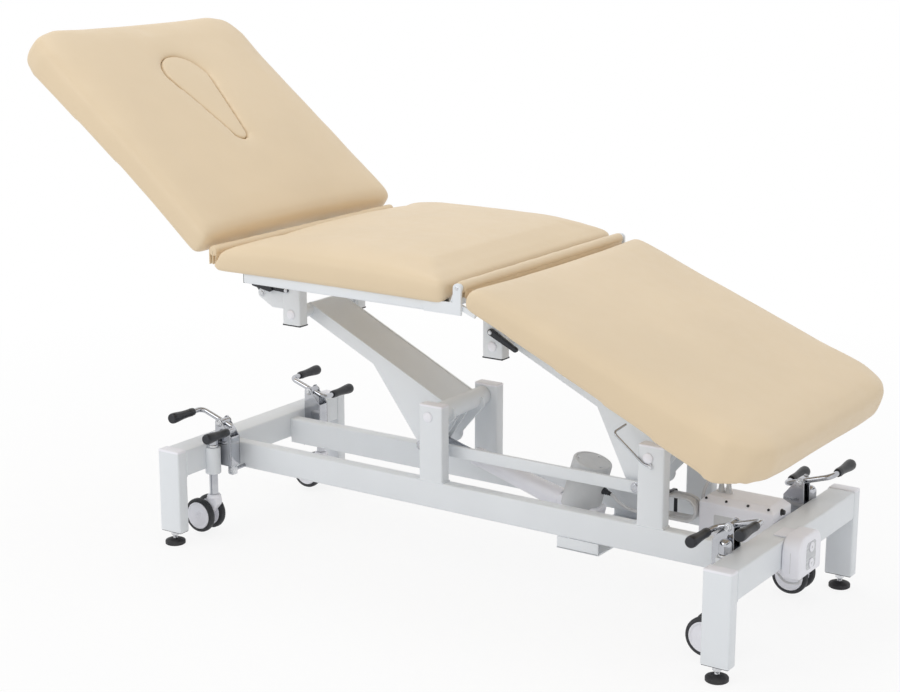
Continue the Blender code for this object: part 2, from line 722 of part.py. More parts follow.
def lift_arm(end, low, high, levers):
    """Box beam, two gussets down to the lever pins, and a cross tube with pins at each pivot."""
    along = ARM.normalized()
    up = Vector((-along.z, 0, along.x))
    if up.z < 0:
        up = -up
    half_t, half_w = ARM_THICK / 2, ARM_WIDTH / 2
    beam = [flat(low + up * half_t), flat(high + up * half_t),
            flat(high - up * half_t), flat(low - up * half_t)]
    solids = [slab(beam, "Y", -half_w + WELD, half_w - WELD)]
    lever = low + LEVER
    knee = low.lerp(high, 0.5) - up * (half_t - WELD)
    gusset = [flat(low + up * (half_t + WELD) - along * LOWER_TUBE_RADIUS),
              flat(high + up * (half_t + WELD) + along * GUSSET),
              flat(high - up * (half_t - WELD) + along * GUSSET), flat(knee)]
    gusset += arc(flat(lever), LEVER_RADIUS, 170, 370, 6)
    gusset.append(flat(low - along * GUSSET_HEEL))
    for way in (-1, 1):
        faces = sorted((way * half_w, way * (half_w - GUSSET)))
        solids.append(slab(gusset, "Y", faces[0], faces[1]))
    for place, radius in ((low, LOWER_TUBE_RADIUS), (high, UPPER_TUBE_RADIUS)):
        inside = Vector((0, RAIL_INNER - RUN, 0))
        through = Vector((0, RAIL_OUTER - WELD, 0))
        solids.append(rod(place - inside, place + inside, radius))
        solids.append(rod(place - through, place + through, PIVOT_PIN_RADIUS))
    pin_out = half_w + TIE_BAR_GAP + TIE_BAR_THICK + CLEAR
    solids.append(rod(lever + Vector((0, -pin_out, 0)), lever + Vector((0, -half_w + GUSSET - WELD, 0)),
                      TIE_PIN_RADIUS, 12))
    if levers:
        plate = link_outline(flat(low), flat(lever), LEVER_ROOT_RADIUS, LEVER_TIP_RADIUS)
        for way in (-1, 1):
            faces = sorted((way * LEVER_GAP / 2, way * (LEVER_GAP / 2 + LEVER_PLATE)))
            solids.append(slab(plate, "Y", faces[0], faces[1]))
    piece(join(solids), f"{end}_lift_arm", WHITE_COAT, axis_empty(f"{end}_arm_axis", low))


def tie_bar():
    first, second = (low + LEVER for low in LIFT_LOW)
    outer = -(ARM_WIDTH / 2 + TIE_BAR_GAP + TIE_BAR_THICK)
    bar = slab(link_outline(flat(first), flat(second), TIE_BAR_RADIUS, TIE_BAR_RADIUS), "Y",
               outer, outer + TIE_BAR_THICK)
    across = Vector((0, ARM_WIDTH, 0))
    bores = [rod(p - across, p + across, TIE_PIN_RADIUS + RUN, 12) for p in (first, second)]
    piece(cut(bar, bores), "tie_bar", WHITE_COAT, axis_empty("tie_bar_axis", first))


def actuator():
    """The mount under the rails, the body with gear case and motor, and the push rod."""
    rear = Vector((BASE_X + ACTUATOR_X, 0, ACTUATOR_Z))
    front = LIFT_LOW[0] + LEVER
    along = (front - rear).normalized()
    up = Vector((-along.z, 0, along.x))
    if up.z < 0:
        up = -up
    reach = (front - rear).length

    half, side = MOUNT_LENGTH / 2, RAIL_OUTER
    hang_top = RAIL_TOP - TUBE_WIDE - CLEAR
    solids = [box((rear.x - half, -side, MOUNT_LOW), (rear.x + half, side, MOUNT_LOW + MOUNT_PLATE))]
    ear = link_outline((rear.x, MOUNT_LOW + EYE_RADIUS), flat(rear), EYE_RADIUS, MOUNT_EAR_RADIUS)
    for way in (-1, 1):
        flange = sorted((way * side, way * (side - MOUNT_PLATE)))
        solids.append(box((rear.x - half + WELD, flange[0], MOUNT_LOW + WELD),
                          (rear.x + half - WELD, flange[1], hang_top)))
        faces = sorted((way * MOUNT_EAR_GAP / 2, way * (MOUNT_EAR_GAP / 2 + MOUNT_EAR)))
        solids.append(slab(ear, "Y", faces[0], faces[1]))
    pin_half = Vector((0, MOUNT_EAR_GAP / 2 + MOUNT_EAR + WELD, 0))
    solids.append(rod(rear - pin_half, rear + pin_half, MOUNT_PIN_RADIUS, 12))
    piece(join(solids), "actuator_mount", WHITE_COAT)

    eye_half = MOUNT_EAR_GAP / 2 - RUN
    eye = rod(rear - Vector((0, eye_half, 0)), rear + Vector((0, eye_half, 0)), REAR_EYE_RADIUS)
    neck = rod(rear + along * MOUNT_PIN_RADIUS, rear + along * (CASE_START + WELD), NECK_RADIUS)
    case_half = CASE_SIZE / 2
    case_nose = case_half * CASE_TAPER
    corners = ((CASE_START, -case_half), (CASE_END, -case_nose), (CASE_END, case_nose))
    corners += ((CASE_START, case_half),)
    case = slab([flat(rear + along * a + up * b) for a, b in corners], "Y", -case_half, case_half)
    motor_base = rear + along * MOTOR_PLACE
    motor = rod(motor_base + up * MOTOR_LOW, motor_base + up * MOTOR_HIGH, MOTOR_RADIUS, 24)
    barrel = rod(rear + along * (CASE_END - WELD), rear + along * CYLINDER_END, CYLINDER_RADIUS)
    across = Vector((0, CASE_SIZE, 0))
    bores = [rod(rear + along * (ROD_START - ROD_SPARE), rear + along * (reach + WELD), ROD_RADIUS + RUN),
             rod(rear - across, rear + across, MOUNT_PIN_RADIUS + RUN, 12)]
    body = axis_empty("actuator_axis", rear)
    piece(cut(join([case, barrel, motor, neck, eye]), bores), "actuator_body", WHITE_PLASTIC, body)

    end_half = LEVER_GAP / 2 - ROD_EYE_GAP
    push = rod(rear + along * ROD_START, front, ROD_RADIUS)
    head = rod(front - Vector((0, end_half, 0)), front + Vector((0, end_half, 0)), EYE_RADIUS)
    piece(join([push, head]), "actuator_rod", CHROME, body)


def seat_section():
    """Seat frame with drop brackets, hinge ears and lugs; its cushion; the padded hinge roll."""
    top = axis_empty("seat_axis", LIFT_HIGH[0])
    half_tube = FRAME_TUBE / 2
    drop_half = DROP_WIDTH / 2
    inner_head = LIFT_HIGH[0].x - drop_half
    inner_foot = LIFT_HIGH[1].x + drop_half
    solids, bores = [], []
    for way in (-1, 1):
        y = way * SIDE_RAIL_Y
        solids.append(box((BASE_X + SIDE_RAIL_HEAD, y - half_tube, FRAME_LOW),
                          (BASE_X + SIDE_RAIL_FOOT, y + half_tube, FRAME_TOP)))
        near_face, far_face = sorted((way * RAIL_INNER, way * RAIL_OUTER))
        solids.append(box((inner_head, near_face, FRAME_LOW + BEAM_DROP),
                          (inner_foot, far_face, FRAME_TOP - BEAM_DROP)))
        for high in LIFT_HIGH:
            solids.append(box((high.x - drop_half + BEAM_DROP, near_face + BEAM_DROP, high.z - DROP_BELOW),
                              (high.x + drop_half - BEAM_DROP, far_face - BEAM_DROP, FRAME_LOW + half_tube)))
            bores.append(rod(high + Vector((0, near_face - WELD, 0)), high + Vector((0, far_face + WELD, 0)),
                             PIVOT_PIN_RADIUS + RUN))
        solids += [back_ear(way), leg_ear(way)]
        solids += [hinge_pin(BACK_HINGE, way * RAIL_OUTER, way * (RAIL_OUTER + 3 * HINGE_PLATE)),
                   hinge_pin(LEG_HINGE, way * (ROLL_HALF - ROLL_PIN_DEPTH),
                             way * (LEG_EAR_Y + 2 * HINGE_PLATE))]
    for x in (HEAD_CROSS_X, FOOT_CROSS_X, LEG_SPRING_X):
        reach = SIDE_RAIL_Y if x != LEG_SPRING_X else RAIL_SPACING / 2
        solids.append(box((BASE_X + x - half_tube, -reach, FRAME_LOW + 2 * BEAM_DROP),
                          (BASE_X + x + half_tube, reach, FRAME_TOP - 2 * BEAM_DROP)))
    solids.append(spring_plate())
    solids.append(spring_lug((BASE_X + LEG_SPRING_X, LEG_SPRING_Z),
                             (BASE_X + LEG_SPRING_X, FRAME_LOW + half_tube), LEG_SPRING_Y))
    across = Vector((0, FRAME_TUBE, 0))
    shaft = LIFT_HIGH[0] + Vector((BACK_LEVER_SHIFT, -RAIL_SPACING / 2, BACK_LEVER_RISE))
    bores.append(rod(shaft - across, shaft + across, LEVER_SHAFT_RADIUS + RUN, 12))
    leg_pivot = LIFT_HIGH[1] + Vector((0, -RAIL_SPACING / 2, LEG_LEVER_RISE))
    bores.append(rod(leg_pivot - across, leg_pivot + across, LEVER_SHAFT_RADIUS + RUN, 12))
    piece(cut(join(solids), bores), "seat_frame", WHITE_COAT, top)
    half_y = CUSHION_WIDTH / 2
    pad = cushion((BASE_X + SEAT_HEAD, -half_y, SEAT_BOTTOM), (BASE_X + SEAT_FOOT, half_y, SEAT_TOP),
                  (SQUARE_CORNER, SQUARE_CORNER), CROWN, arch=SEAT_ARCH,
                  points=SEAT_CORNER_PULL)
    piece(pad, "seat_cushion", CREAM_VINYL, top, 50)
    ends = Vector((0, ROLL_HALF, 0))
    roll = rod(LEG_HINGE - ends, LEG_HINGE + ends, ROLL_RADIUS)
    floor = ends - Vector((0, ROLL_PIN_DEPTH + WELD, 0))
    sockets = [rod(LEG_HINGE + way * floor, LEG_HINGE + 2 * way * ends, HINGE_PIN_RADIUS + RUN, 12)
               for way in (-1, 1)]
    piece(cut(roll, sockets), "hinge_roll", CREAM_VINYL, top)
    back_roll(top)


def back_roll(carrier):
    """The padded roll over the back hinge, notched over the two pairs of ears that it sits on."""
    middle = BACK_HINGE + Vector((0, 0, BACK_ROLL_RISE))
    ends = Vector((0, BACK_ROLL_HALF, 0))
    notches = []
    for way in (-1, 1):
        inner, outer = way * (RAIL_OUTER - 2 * WELD), way * (RAIL_OUTER + 3 * HINGE_PLATE + WELD)
        step = way * (RAIL_OUTER + HINGE_PLATE)
        notches.append(rod(BACK_HINGE + Vector((0, inner, 0)), BACK_HINGE + Vector((0, outer, 0)),
                           HINGE_ROUND + CLEAR, 24))
        notches.append(rod(BACK_HINGE + Vector((0, step, 0)), BACK_HINGE + Vector((0, outer, 0)),
                           HINGE_ROUND + 2 * WELD, 24))
        notches.append(box(BACK_HINGE + Vector((-FRAME_TUBE, min(inner, outer), -FRAME_TUBE)),
                           BACK_HINGE + Vector((FRAME_TUBE, max(inner, outer), 0))))
    roll = rod(middle - ends, middle + ends, BACK_ROLL_RADIUS)
    piece(cut(roll, notches), "back_hinge_roll", CREAM_VINYL, carrier)


def hinge_pin(hinge, first, second):
    return rod(hinge + Vector((0, first, 0)), hinge + Vector((0, second, 0)), HINGE_PIN_RADIUS, 12)


def back_ear(way):
    """The seat's ear for the back hinge, beside the inner rail."""
    root = LIFT_HIGH[0].x
    low, high = FRAME_LOW + 3 * BEAM_DROP, FRAME_TOP - 3 * BEAM_DROP
    outline = ([(root, low), (root, high), (BACK_HINGE.x + HINGE_ROUND, high)]
               + arc(flat(BACK_HINGE), HINGE_ROUND, 0, 180, 6) + [(BACK_HINGE.x - HINGE_ROUND, low)])
    faces = sorted((way * (RAIL_OUTER - WELD), way * (RAIL_OUTER + HINGE_PLATE)))
    return slab(outline, "Y", faces[0], faces[1])


def leg_ear(way):
    """The seat's ear for the leg hinge, on the side rail's outer face."""
    root = BASE_X + FOOT_CROSS_X - FRAME_TUBE
    low, high = FRAME_LOW + BEAM_DROP, FRAME_TOP - BEAM_DROP
    outline = ([(root, high), (root, low), (LEG_HINGE.x + LEG_EAR_ROUND, low)]
               + arc(flat(LEG_HINGE), LEG_EAR_ROUND, 0, 180, 6) + [(LEG_HINGE.x - LEG_EAR_ROUND, high)])
    inner = LEG_EAR_Y + HINGE_PLATE + CLEAR
    faces = sorted((way * inner, way * (inner + HINGE_PLATE)))
    return slab(outline, "Y", faces[0], faces[1])


def spring_lug(eye, root, y):
    """One plate on the near side of a gas spring's eye."""
    plate = link_outline(eye, root, SPRING_EYE_RADIUS, SPRING_EYE_RADIUS)
    return slab(plate, "Y", y - SPRING_LUG_OFF - LUG_PLATE, y - SPRING_LUG_OFF)


def spring_plate():
    """The plate on the near head bracket that carries the back's gas spring."""
    eye = (BASE_X + BACK_SPRING_X, BACK_SPRING_Z)
    root = LIFT_HIGH[0].x
    outline = [(root, BACK_PLATE_LOW), (root, BACK_PLATE_TOP)]
    outline += arc(eye, BACK_PLATE_TOP - BACK_SPRING_Z, 90, 225, 6)
    outline.append((eye[0] + BACK_PLATE_CHAMFER, BACK_PLATE_LOW))
    face = BACK_SPRING_Y - SPRING_LUG_OFF
    return slab(outline, "Y", face - LUG_PLATE, face)


def section_ear(hinge, away, faces, half, reach, depth):
    """A hinged section's ear: from the pin down to its frame, clear of the cushion."""
    low = BACK_LOW - CLEAR - depth + BEAM_DROP
    foot = BACK_LOW - CLEAR - BEAM_DROP
    outline = [(-half, low), (reach, low), (reach, foot), (half, foot)]
    outline += arc((0, 0), half, 0, 180, 6)
    points = [(hinge.x + away * s, hinge.z + t) for s, t in outline]
    return slab(points if away > 0 else points[::-1], "Y", *sorted(faces))


def back_section():
    """Back frame, cushion with its face opening, and the plug; modelled level, then raised."""
    carrier = axis_empty("back_axis", BACK_HINGE)
    top = BACK_HINGE.z + BACK_LOW - CLEAR
    low = top - FRAME_TUBE
    half = FRAME_TUBE / 2
    ear_inner = RAIL_OUTER + HINGE_PLATE + CLEAR
    solids, bores = [], []
    for way in (-1, 1):
        y = way * BACK_RAIL_Y
        solids.append(box((BACK_HINGE.x - BACK_RAIL_END, y - half, low),
                          (BACK_HINGE.x - BACK_START, y + half, top)))
        faces = (way * ear_inner, way * (ear_inner + HINGE_PLATE + WELD))
        solids.append(section_ear(BACK_HINGE, -1, faces, HINGE_HALF, BACK_START + 2 * FRAME_TUBE, FRAME_TUBE))
        bores.append(rod(BACK_HINGE + Vector((0, way * RAIL_OUTER, 0)),
                         BACK_HINGE + Vector((0, way * (ear_inner + 3 * HINGE_PLATE), 0)),
                         HINGE_PIN_RADIUS + RUN, 12))
    for s in (BACK_START + FRAME_TUBE, BACK_SPRING_S - FRAME_TUBE - 2 * half, BACK_RAIL_END - FRAME_TUBE):
        x = BACK_HINGE.x - s
        solids.append(box((x - half, -BACK_RAIL_Y, low + BEAM_DROP),
                          (x + half, BACK_RAIL_Y, top - BEAM_DROP)))
    eye = (BACK_HINGE.x - BACK_SPRING_S, BACK_HINGE.z + SPRING_T)
    root = (BACK_HINGE.x - BACK_SPRING_S + FRAME_TUBE + 2 * half, low + half)
    solids.append(spring_lug(eye, root, BACK_SPRING_Y))
    piece(cut(join(solids), bores), "back_frame", WHITE_COAT, carrier)

    half_y = CUSHION_WIDTH / 2
    corner_low = (BACK_HINGE.x - BACK_LENGTH, -half_y, BACK_HINGE.z + BACK_LOW)
    corner_high = (BACK_HINGE.x - BACK_START, half_y, BACK_HINGE.z + BACK_HIGH)

    def hang(x):
        return BACK_HANG * max(0, BACK_HINGE.x - BACK_HANG_START - x)

    pad = cushion(corner_low, corner_high, (BACK_CORNER, SQUARE_CORNER), CROWN, hang)
    blank = cushion(corner_low, corner_high, (BACK_CORNER, SQUARE_CORNER), CROWN, hang)

    def teardrop(shrink):
        outline = link_outline((BACK_HINGE.x - PLUG_NARROW_S, 0), (BACK_HINGE.x - PLUG_WIDE_S, 0),
                               PLUG_NARROW_RADIUS - shrink, PLUG_WIDE_RADIUS - shrink, 12)
        return slab(outline, "Z", BACK_HINGE.z - CUSHION_WIDTH, BACK_HINGE.z + CUSHION_WIDTH)

    piece(cut(pad, [teardrop(0)]), "back_cushion", CREAM_VINYL, carrier, 50)
    plug = combine(blank, [teardrop(PLUG_GAP)], "INTERSECT")
    piece(plug, "face_plug", CREAM_VINYL, carrier, 50)
    carrier.rotation_euler.y = BACK_ANGLE


def leg_section():
    """Leg frame and cushion; modelled level, then lowered."""
    carrier = axis_empty("leg_axis", LEG_HINGE)
    top = LEG_HINGE.z + LEG_LOW - CLEAR
    low = top - FRAME_TUBE
    half = FRAME_TUBE / 2
    solids, bores = [], []
    for way in (-1, 1):
        y = way * LEG_RAIL_Y
        solids.append(box((LEG_HINGE.x + LEG_CROSS_S, y - half, low),
                          (LEG_HINGE.x + LEG_RAIL_END, y + half, top)))
        faces = (way * LEG_EAR_Y, way * (LEG_EAR_Y + HINGE_PLATE))
        solids.append(section_ear(LEG_HINGE, 1, faces, LEG_EAR_HALF, LEG_EAR_REACH, LEG_STRIP))
        bores.append(rod(LEG_HINGE + Vector((0, way * (LEG_EAR_Y - HINGE_PLATE), 0)),
                         LEG_HINGE + Vector((0, way * (LEG_EAR_Y + 2 * HINGE_PLATE), 0)),
                         HINGE_PIN_RADIUS + RUN, 12))
    spans = ((LEG_CROSS_S, LEG_EAR_Y + WELD), (LEG_SPRING_S - FRAME_TUBE, LEG_RAIL_Y),
             (LEG_RAIL_END - FRAME_TUBE, LEG_RAIL_Y))
    for s, reach in spans:
        x = LEG_HINGE.x + s
        under = top - LEG_STRIP if s == LEG_CROSS_S else low
        solids.append(box((x - half, -reach, under + 2 * BEAM_DROP), (x + half, reach, top - 2 * BEAM_DROP)))
    eye = (LEG_HINGE.x + LEG_SPRING_S, LEG_HINGE.z + SPRING_T)
    solids.append(spring_lug(eye, (LEG_HINGE.x + LEG_SPRING_S - FRAME_TUBE, low + half), LEG_SPRING_Y))
    piece(cut(join(solids), bores), "leg_frame", WHITE_COAT, carrier)
    half_y = CUSHION_WIDTH / 2

    def hang(x):
        return LEG_HANG * max(0, x - LEG_HINGE.x - LEG_HANG_START)

    pad = cushion((LEG_HINGE.x + LEG_START, -half_y, LEG_HINGE.z + LEG_LOW),
                  (LEG_HINGE.x + LEG_LENGTH, half_y, LEG_HINGE.z + LEG_HIGH),
                  (SQUARE_CORNER, LEG_CORNER), CROWN, hang)
    piece(pad, "leg_cushion", CREAM_VINYL, carrier, 50)
    carrier.rotation_euler.y = LEG_ANGLE


def gas_spring(name, fixed, hinge, away, s, angle):
    """Cylinder on the seat frame's lug, and a rod whose eye lies beside the section's lug."""
    cos, sin = math.cos(angle), math.sin(angle)
    level = Vector((away * s, 0, SPRING_T))
    eye = hinge + Vector((level.x * cos + level.z * sin, fixed.y, -level.x * sin + level.z * cos))
    along = (eye - fixed).normalized()
    body_end = fixed + along * ((eye - fixed).length * SPRING_BODY_SHARE)
    half = Vector((0, SPRING_EYE_HALF, 0))
    carrier = axis_empty(f"{name}_spring_axis", fixed)
    barrel = rod(fixed + along * SPRING_NECK, body_end, SPRING_RADIUS, 14)
    neck = rod(fixed, fixed + along * (SPRING_NECK + 2 * WELD), SPRING_ROD_RADIUS, 12)
    bore = rod(body_end - along * SPRING_BORE, body_end + along * WELD, SPRING_ROD_RADIUS + RUN, 12)
    end_eye = rod(fixed - half, fixed + half, SPRING_EYE_RADIUS, 14)
    piece(cut(join([barrel, neck, end_eye]), [bore]), f"{name}_spring_cylinder", BLACK_PAINT, carrier)
    push = rod(body_end - along * SPRING_INSERT, eye, SPRING_ROD_RADIUS, 12)
    far_eye = rod(eye - half, eye + half, SPRING_EYE_RADIUS, 14)
    piece(join([push, far_eye]), f"{name}_spring_rod", CHROME, carrier)


def release_levers():
    """Black levers on short shafts in the near drop brackets: a paddle on an arm, and a plain blade."""
    face = -RAIL_OUTER + BEAM_DROP - CLEAR
    shaft = LIFT_HIGH[0] + Vector((BACK_LEVER_SHIFT, face, BACK_LEVER_RISE))
    knee = (shaft.x - BACK_LEVER_ARM, shaft.z)
    tip = (shaft.x - BACK_LEVER_LENGTH, shaft.z + BACK_LEVER_LIFT)
    arm = link_outline(flat(shaft), knee, LEVER_NOSE_RADIUS, BACK_ARM_RADIUS)
    paddle = link_outline(knee, tip, LEVER_ARM_RADIUS, LEVER_NOSE_RADIUS)
    solids = [slab(arm, "Y", face - LEVER_WIDE / 2, face), slab(paddle, "Y", face - LEVER_WIDE, face - WELD),
              lever_shaft(shaft)]
    piece(join(solids), "back_release_lever", BLACK_PLASTIC, axis_empty("back_lever_axis", shaft))

    pivot = LIFT_HIGH[1] + Vector((0, face, LEG_LEVER_RISE))
    tip = (pivot.x + LEG_LEVER_LENGTH, pivot.z - LEG_LEVER_LENGTH / 2)
    blade = slab(link_outline(flat(pivot), tip, LEVER_ARM_RADIUS, LEVER_NOSE_RADIUS), "Y",
                 pivot.y - LEVER_WIDE, pivot.y)
    piece(join([blade, lever_shaft(pivot)]), "leg_release_lever", BLACK_PLASTIC,
          axis_empty("leg_lever_axis", pivot))


def lever_shaft(pivot):
    end = pivot + Vector((0, LEVER_SHAFT_LENGTH, 0))
    return rod(pivot - Vector((0, WELD, 0)), end, LEVER_SHAFT_RADIUS, 12)


def controls():
    """Control box on the far rail, hand control hung on the foot beam, and a wire hook."""
    box_right = BASE_X + END_FACE - BOX_END_GAP
    back = RAIL_INNER - CLEAR
    case = box((box_right - BOX_LENGTH, back - BOX_DEPTH, BOX_LOW), (box_right, back, BOX_HIGH), BOX_BEVEL)
    piece(case, "control_box", WHITE_PLASTIC)

    beam_face = BASE_X + HALF_SPACING + TUBE_WIDE / 2 - BEAM_DROP + CLEAR
    half = HANDSET_WIDTH / 2
    arch = HANDSET_HIGH - HANDSET_ROUND
    outline = ([(HANDSET_Y + half, HANDSET_LOW)]
               + arc((HANDSET_Y + half - HANDSET_ROUND, arch), HANDSET_ROUND, 0, 90, 6)
               + arc((HANDSET_Y - half + HANDSET_ROUND, arch), HANDSET_ROUND, 90, 180, 6)
               + [(HANDSET_Y - half, HANDSET_LOW)])
    front = beam_face + HANDSET_DEPTH
    shell = slab(outline, "X", beam_face, front)
    hook_low = LEG_TOP - BEAM_DROP + CLEAR
    hook = box((beam_face - TUBE_WIDE / 2, HANDSET_Y - half / 2, hook_low),
               (beam_face + WELD, HANDSET_Y + half / 2, hook_low + HANDSET_HOOK))
    wells = []
    for step, word in ((1, "up"), (-1, "down")):
        centre = Vector((front, HANDSET_Y, BUTTON_Z + step * BUTTON_PITCH / 2))
        sink = Vector((BUTTON_LENGTH, 0, 0))
        wells.append(rod(centre - sink, centre + sink, BUTTON_RADIUS + RUN))
        proud = Vector((BUTTON_PROUD, 0, 0))
        button = rod(centre + proud - sink, centre + proud, BUTTON_RADIUS)
        piece(button, f"button_{word}", WHITE_PLASTIC, axis_empty(f"button_axis_{word}", centre))
    piece(cut(join([shell, hook]), wells), "hand_control", WHITE_PLASTIC)

    upright_x = LIFT_LOW[1].x + UPRIGHT_SHIFT
    face = -RAIL_OUTER - HOOK_RADIUS - CLEAR + BEAM_DROP
    clip = Vector((upright_x, face, PIVOT_Z))
    wire = [clip + Vector(step) for step in HOOK_ROUTE]
    piece(tube(wire, HOOK_RADIUS), "wire_hook", CHROME)


def hank(middle):
    """Points along long loops in the side view, each a pitch further across, ending on the way up."""
    points = []
    for step in range(HANK_LOOPS * LOOP_POINTS + LOOP_POINTS * 2 // 5):
        turn = step / LOOP_POINTS
        radius = HANK_RADIUS + HANK_SWAY * math.sin(2 * turn)
        walked = (turn % 1) * (4 * HANK_HALF + 2 * math.pi * radius)
        if walked < 2 * HANK_HALF:
            x, z = walked - HANK_HALF, -radius
        elif walked < 2 * HANK_HALF + math.pi * radius:
            swing = (walked - 2 * HANK_HALF) / radius - math.pi / 2
            x, z = HANK_HALF + radius * math.cos(swing), radius * math.sin(swing)
        elif walked < 4 * HANK_HALF + math.pi * radius:
            x, z = 3 * HANK_HALF + math.pi * radius - walked, radius
        else:
            swing = (walked - 4 * HANK_HALF) / radius - math.pi / 2
            x, z = -HANK_HALF + radius * math.cos(swing), radius * math.sin(swing)
        points.append(middle + Vector((x, HANK_PITCH * turn, z)))
    return points


def least_gap(route, radius):
    """The least gap between stretches of one cable that aren't neighbours along it."""
    walked = [0.0]
    for p, q in zip(route, route[1:]):
        walked.append(walked[-1] + (q - p).length)
    gaps = [(route[i] - route[j]).length - 2 * radius for i in range(len(route)) for j in range(i)
            if walked[i] - walked[j] > 12 * radius]
    return min(gaps)


def cables():
    """The motor's cable to the top of the control box, and the hand control's cable under the beam."""
    box_right = BASE_X + END_FACE - BOX_END_GAP
    box_left = box_right - BOX_LENGTH
    middle_y = RAIL_INNER - CLEAR - BOX_DEPTH / 2
    rear = Vector((BASE_X + ACTUATOR_X, 0, ACTUATOR_Z))
    along = (LIFT_LOW[0] + LEVER - rear).normalized()
    up = Vector((-along.z, 0, along.x))
    if up.z < 0:
        up = -up
    motor_side = rear + along * (MOTOR_PLACE - MOTOR_RADIUS - CLEAR) + up * (MOTOR_HIGH * MOTOR_OUTLET)
    socket = Vector((box_left, middle_y, BOX_HIGH))
    middle = Vector((BASE_X + HANK_X, HANK_Y, HANK_Z))
    lead = [motor_side, motor_side - along * MOTOR_CABLE_OUT]
    lead += [middle + Vector(step) for step in MOTOR_CABLE_LEAD]
    loops = hank(middle)
    rise = [socket + Vector(step) for step in MOTOR_CABLE_RISE]
    route = smooth_route(lead + loops[:2], 4 * CABLE_RADIUS)[:-2] + loops
    route += smooth_route(loops[-2:] + rise, 4 * CABLE_RADIUS)[2:]
    print("motor cable length", round(sum((q - p).length for p, q in zip(route, route[1:])), 3),
          "least gap to itself", round(least_gap(route, CABLE_RADIUS), 5))
    piece(tube(route, CABLE_RADIUS), "motor_cable", GREY_CABLE)

    face = BASE_X + HALF_SPACING + TUBE_WIDE / 2
    start = Vector((box_right - BOX_OUTLET, middle_y - BOX_OUTLET_SIDE, BOX_LOW - CLEAR))
    finish = Vector((face + HANDSET_DEPTH / 2, HANDSET_Y, HANDSET_LOW - CLEAR))
    route = [start + Vector(step) for step in HANDSET_CABLE_FALL]
    route += [finish + Vector(step) for step in HANDSET_CABLE_RISE]
    lead = tube(smooth_route(route, 6 * HANDSET_CABLE_RADIUS), HANDSET_CABLE_RADIUS)
    piece(lead, "hand_control_cable", GREY_CABLE)


def main():
    for end, sign in ENDS:
        end_frame(end, sign)
        for side, way in SIDES:
            levelling_foot(end, sign, side, way)
            castor(end, sign, side, way)
            pedal(end, sign, side, way)
    for side, way in SIDES:
        side_frame(side, way)
    lift_arm("head", LIFT_LOW[0], LIFT_HIGH[0], True)
    lift_arm("foot", LIFT_LOW[1], LIFT_HIGH[1], False)
    tie_bar()
    actuator()
    seat_section()
    back_section()
    leg_section()
    back_fixed = Vector((BASE_X + BACK_SPRING_X, BACK_SPRING_Y, BACK_SPRING_Z))
    leg_fixed = Vector((BASE_X + LEG_SPRING_X, LEG_SPRING_Y, LEG_SPRING_Z))
    gas_spring("back", back_fixed, BACK_HINGE, -1, BACK_SPRING_S, BACK_ANGLE)
    gas_spring("leg", leg_fixed, LEG_HINGE, 1, LEG_SPRING_S, LEG_ANGLE)
    release_levers()
    controls()
    cables()
    bpy.context.view_layer.update()


main()
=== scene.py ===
"""Looks of an electric examination couch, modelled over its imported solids.

Metres, in the solids' own frame: +X towards the foot end, -Y the near side, +Z up, feet on z = 0.
"""
import math
from types import SimpleNamespace

import bmesh
import bpy
from bpy.props import FloatProperty, FloatVectorProperty, IntProperty, PointerProperty
from mathutils import Matrix, Vector


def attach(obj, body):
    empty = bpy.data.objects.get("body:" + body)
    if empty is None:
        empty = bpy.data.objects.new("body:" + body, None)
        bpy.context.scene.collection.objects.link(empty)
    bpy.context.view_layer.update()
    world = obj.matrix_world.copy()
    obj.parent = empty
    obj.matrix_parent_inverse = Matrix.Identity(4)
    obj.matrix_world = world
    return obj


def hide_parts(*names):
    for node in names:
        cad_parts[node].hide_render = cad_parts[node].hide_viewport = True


bl_info = {
    "name": "Examination Couch",
    "version": (1, 0, 0),
    "blender": (4, 5, 0),
    "location": "View3D > Sidebar > Couch",
    "description": "Models the pieces, finishes and stage of a padded couch over its packed solids",
    "category": "Object",
}

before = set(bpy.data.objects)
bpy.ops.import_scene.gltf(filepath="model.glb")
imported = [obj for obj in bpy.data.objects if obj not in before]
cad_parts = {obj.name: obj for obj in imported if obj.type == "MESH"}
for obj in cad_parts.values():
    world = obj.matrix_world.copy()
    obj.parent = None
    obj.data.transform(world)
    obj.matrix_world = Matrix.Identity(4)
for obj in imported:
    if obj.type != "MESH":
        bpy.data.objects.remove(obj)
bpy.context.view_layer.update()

# Places on the base
BASE_X = 0.1480
LEG_X = 0.682
LEG_Y = 0.295
STEM_X = 0.645
STEM_Y = 0.200
RAIL_Y = 0.109
AXLE_TRAIL = 0.028
AXLE_Z = 0.048
PEDAL_SET_IN = 0.005
PEDAL_Y = 0.165
PEDAL_Z = 0.264
PEDAL_TILT = math.radians(18)
PEDAL_OUTER = 0.068
PEDAL_INNER = -0.038

# Places on the lift
LOW_PIVOTS = (Vector((0.0490, 0, 0.352)), Vector((0.5820, 0, 0.352)))
ARM = Vector((-0.370, 0, 0.178))
LEVER = Vector((-0.052, 0, -0.084))
HIGH_PIVOTS = tuple(low + ARM for low in LOW_PIVOTS)
UPRIGHT_SHIFT = 0.006
MOTOR_PIVOT = Vector((0.4230, 0, 0.150))

# Places on the top
BACK_HINGE = Vector((-0.3700, 0, 0.694))
BACK_ANGLE = math.radians(39)
LEG_HINGE = Vector((0.2620, 0, 0.696))
LEG_ANGLE = math.radians(21)
FRAME_LOW = 0.6417
FRAME_TOP = 0.6667
FRAME_DROP = 0.0283
FRAME_REACH = 0.600
BACK_SPRING = Vector((-0.4040, -0.109, 0.569))
LEG_SPRING = Vector((0.1280, 0, 0.600))
SPRING_DROP = -0.065

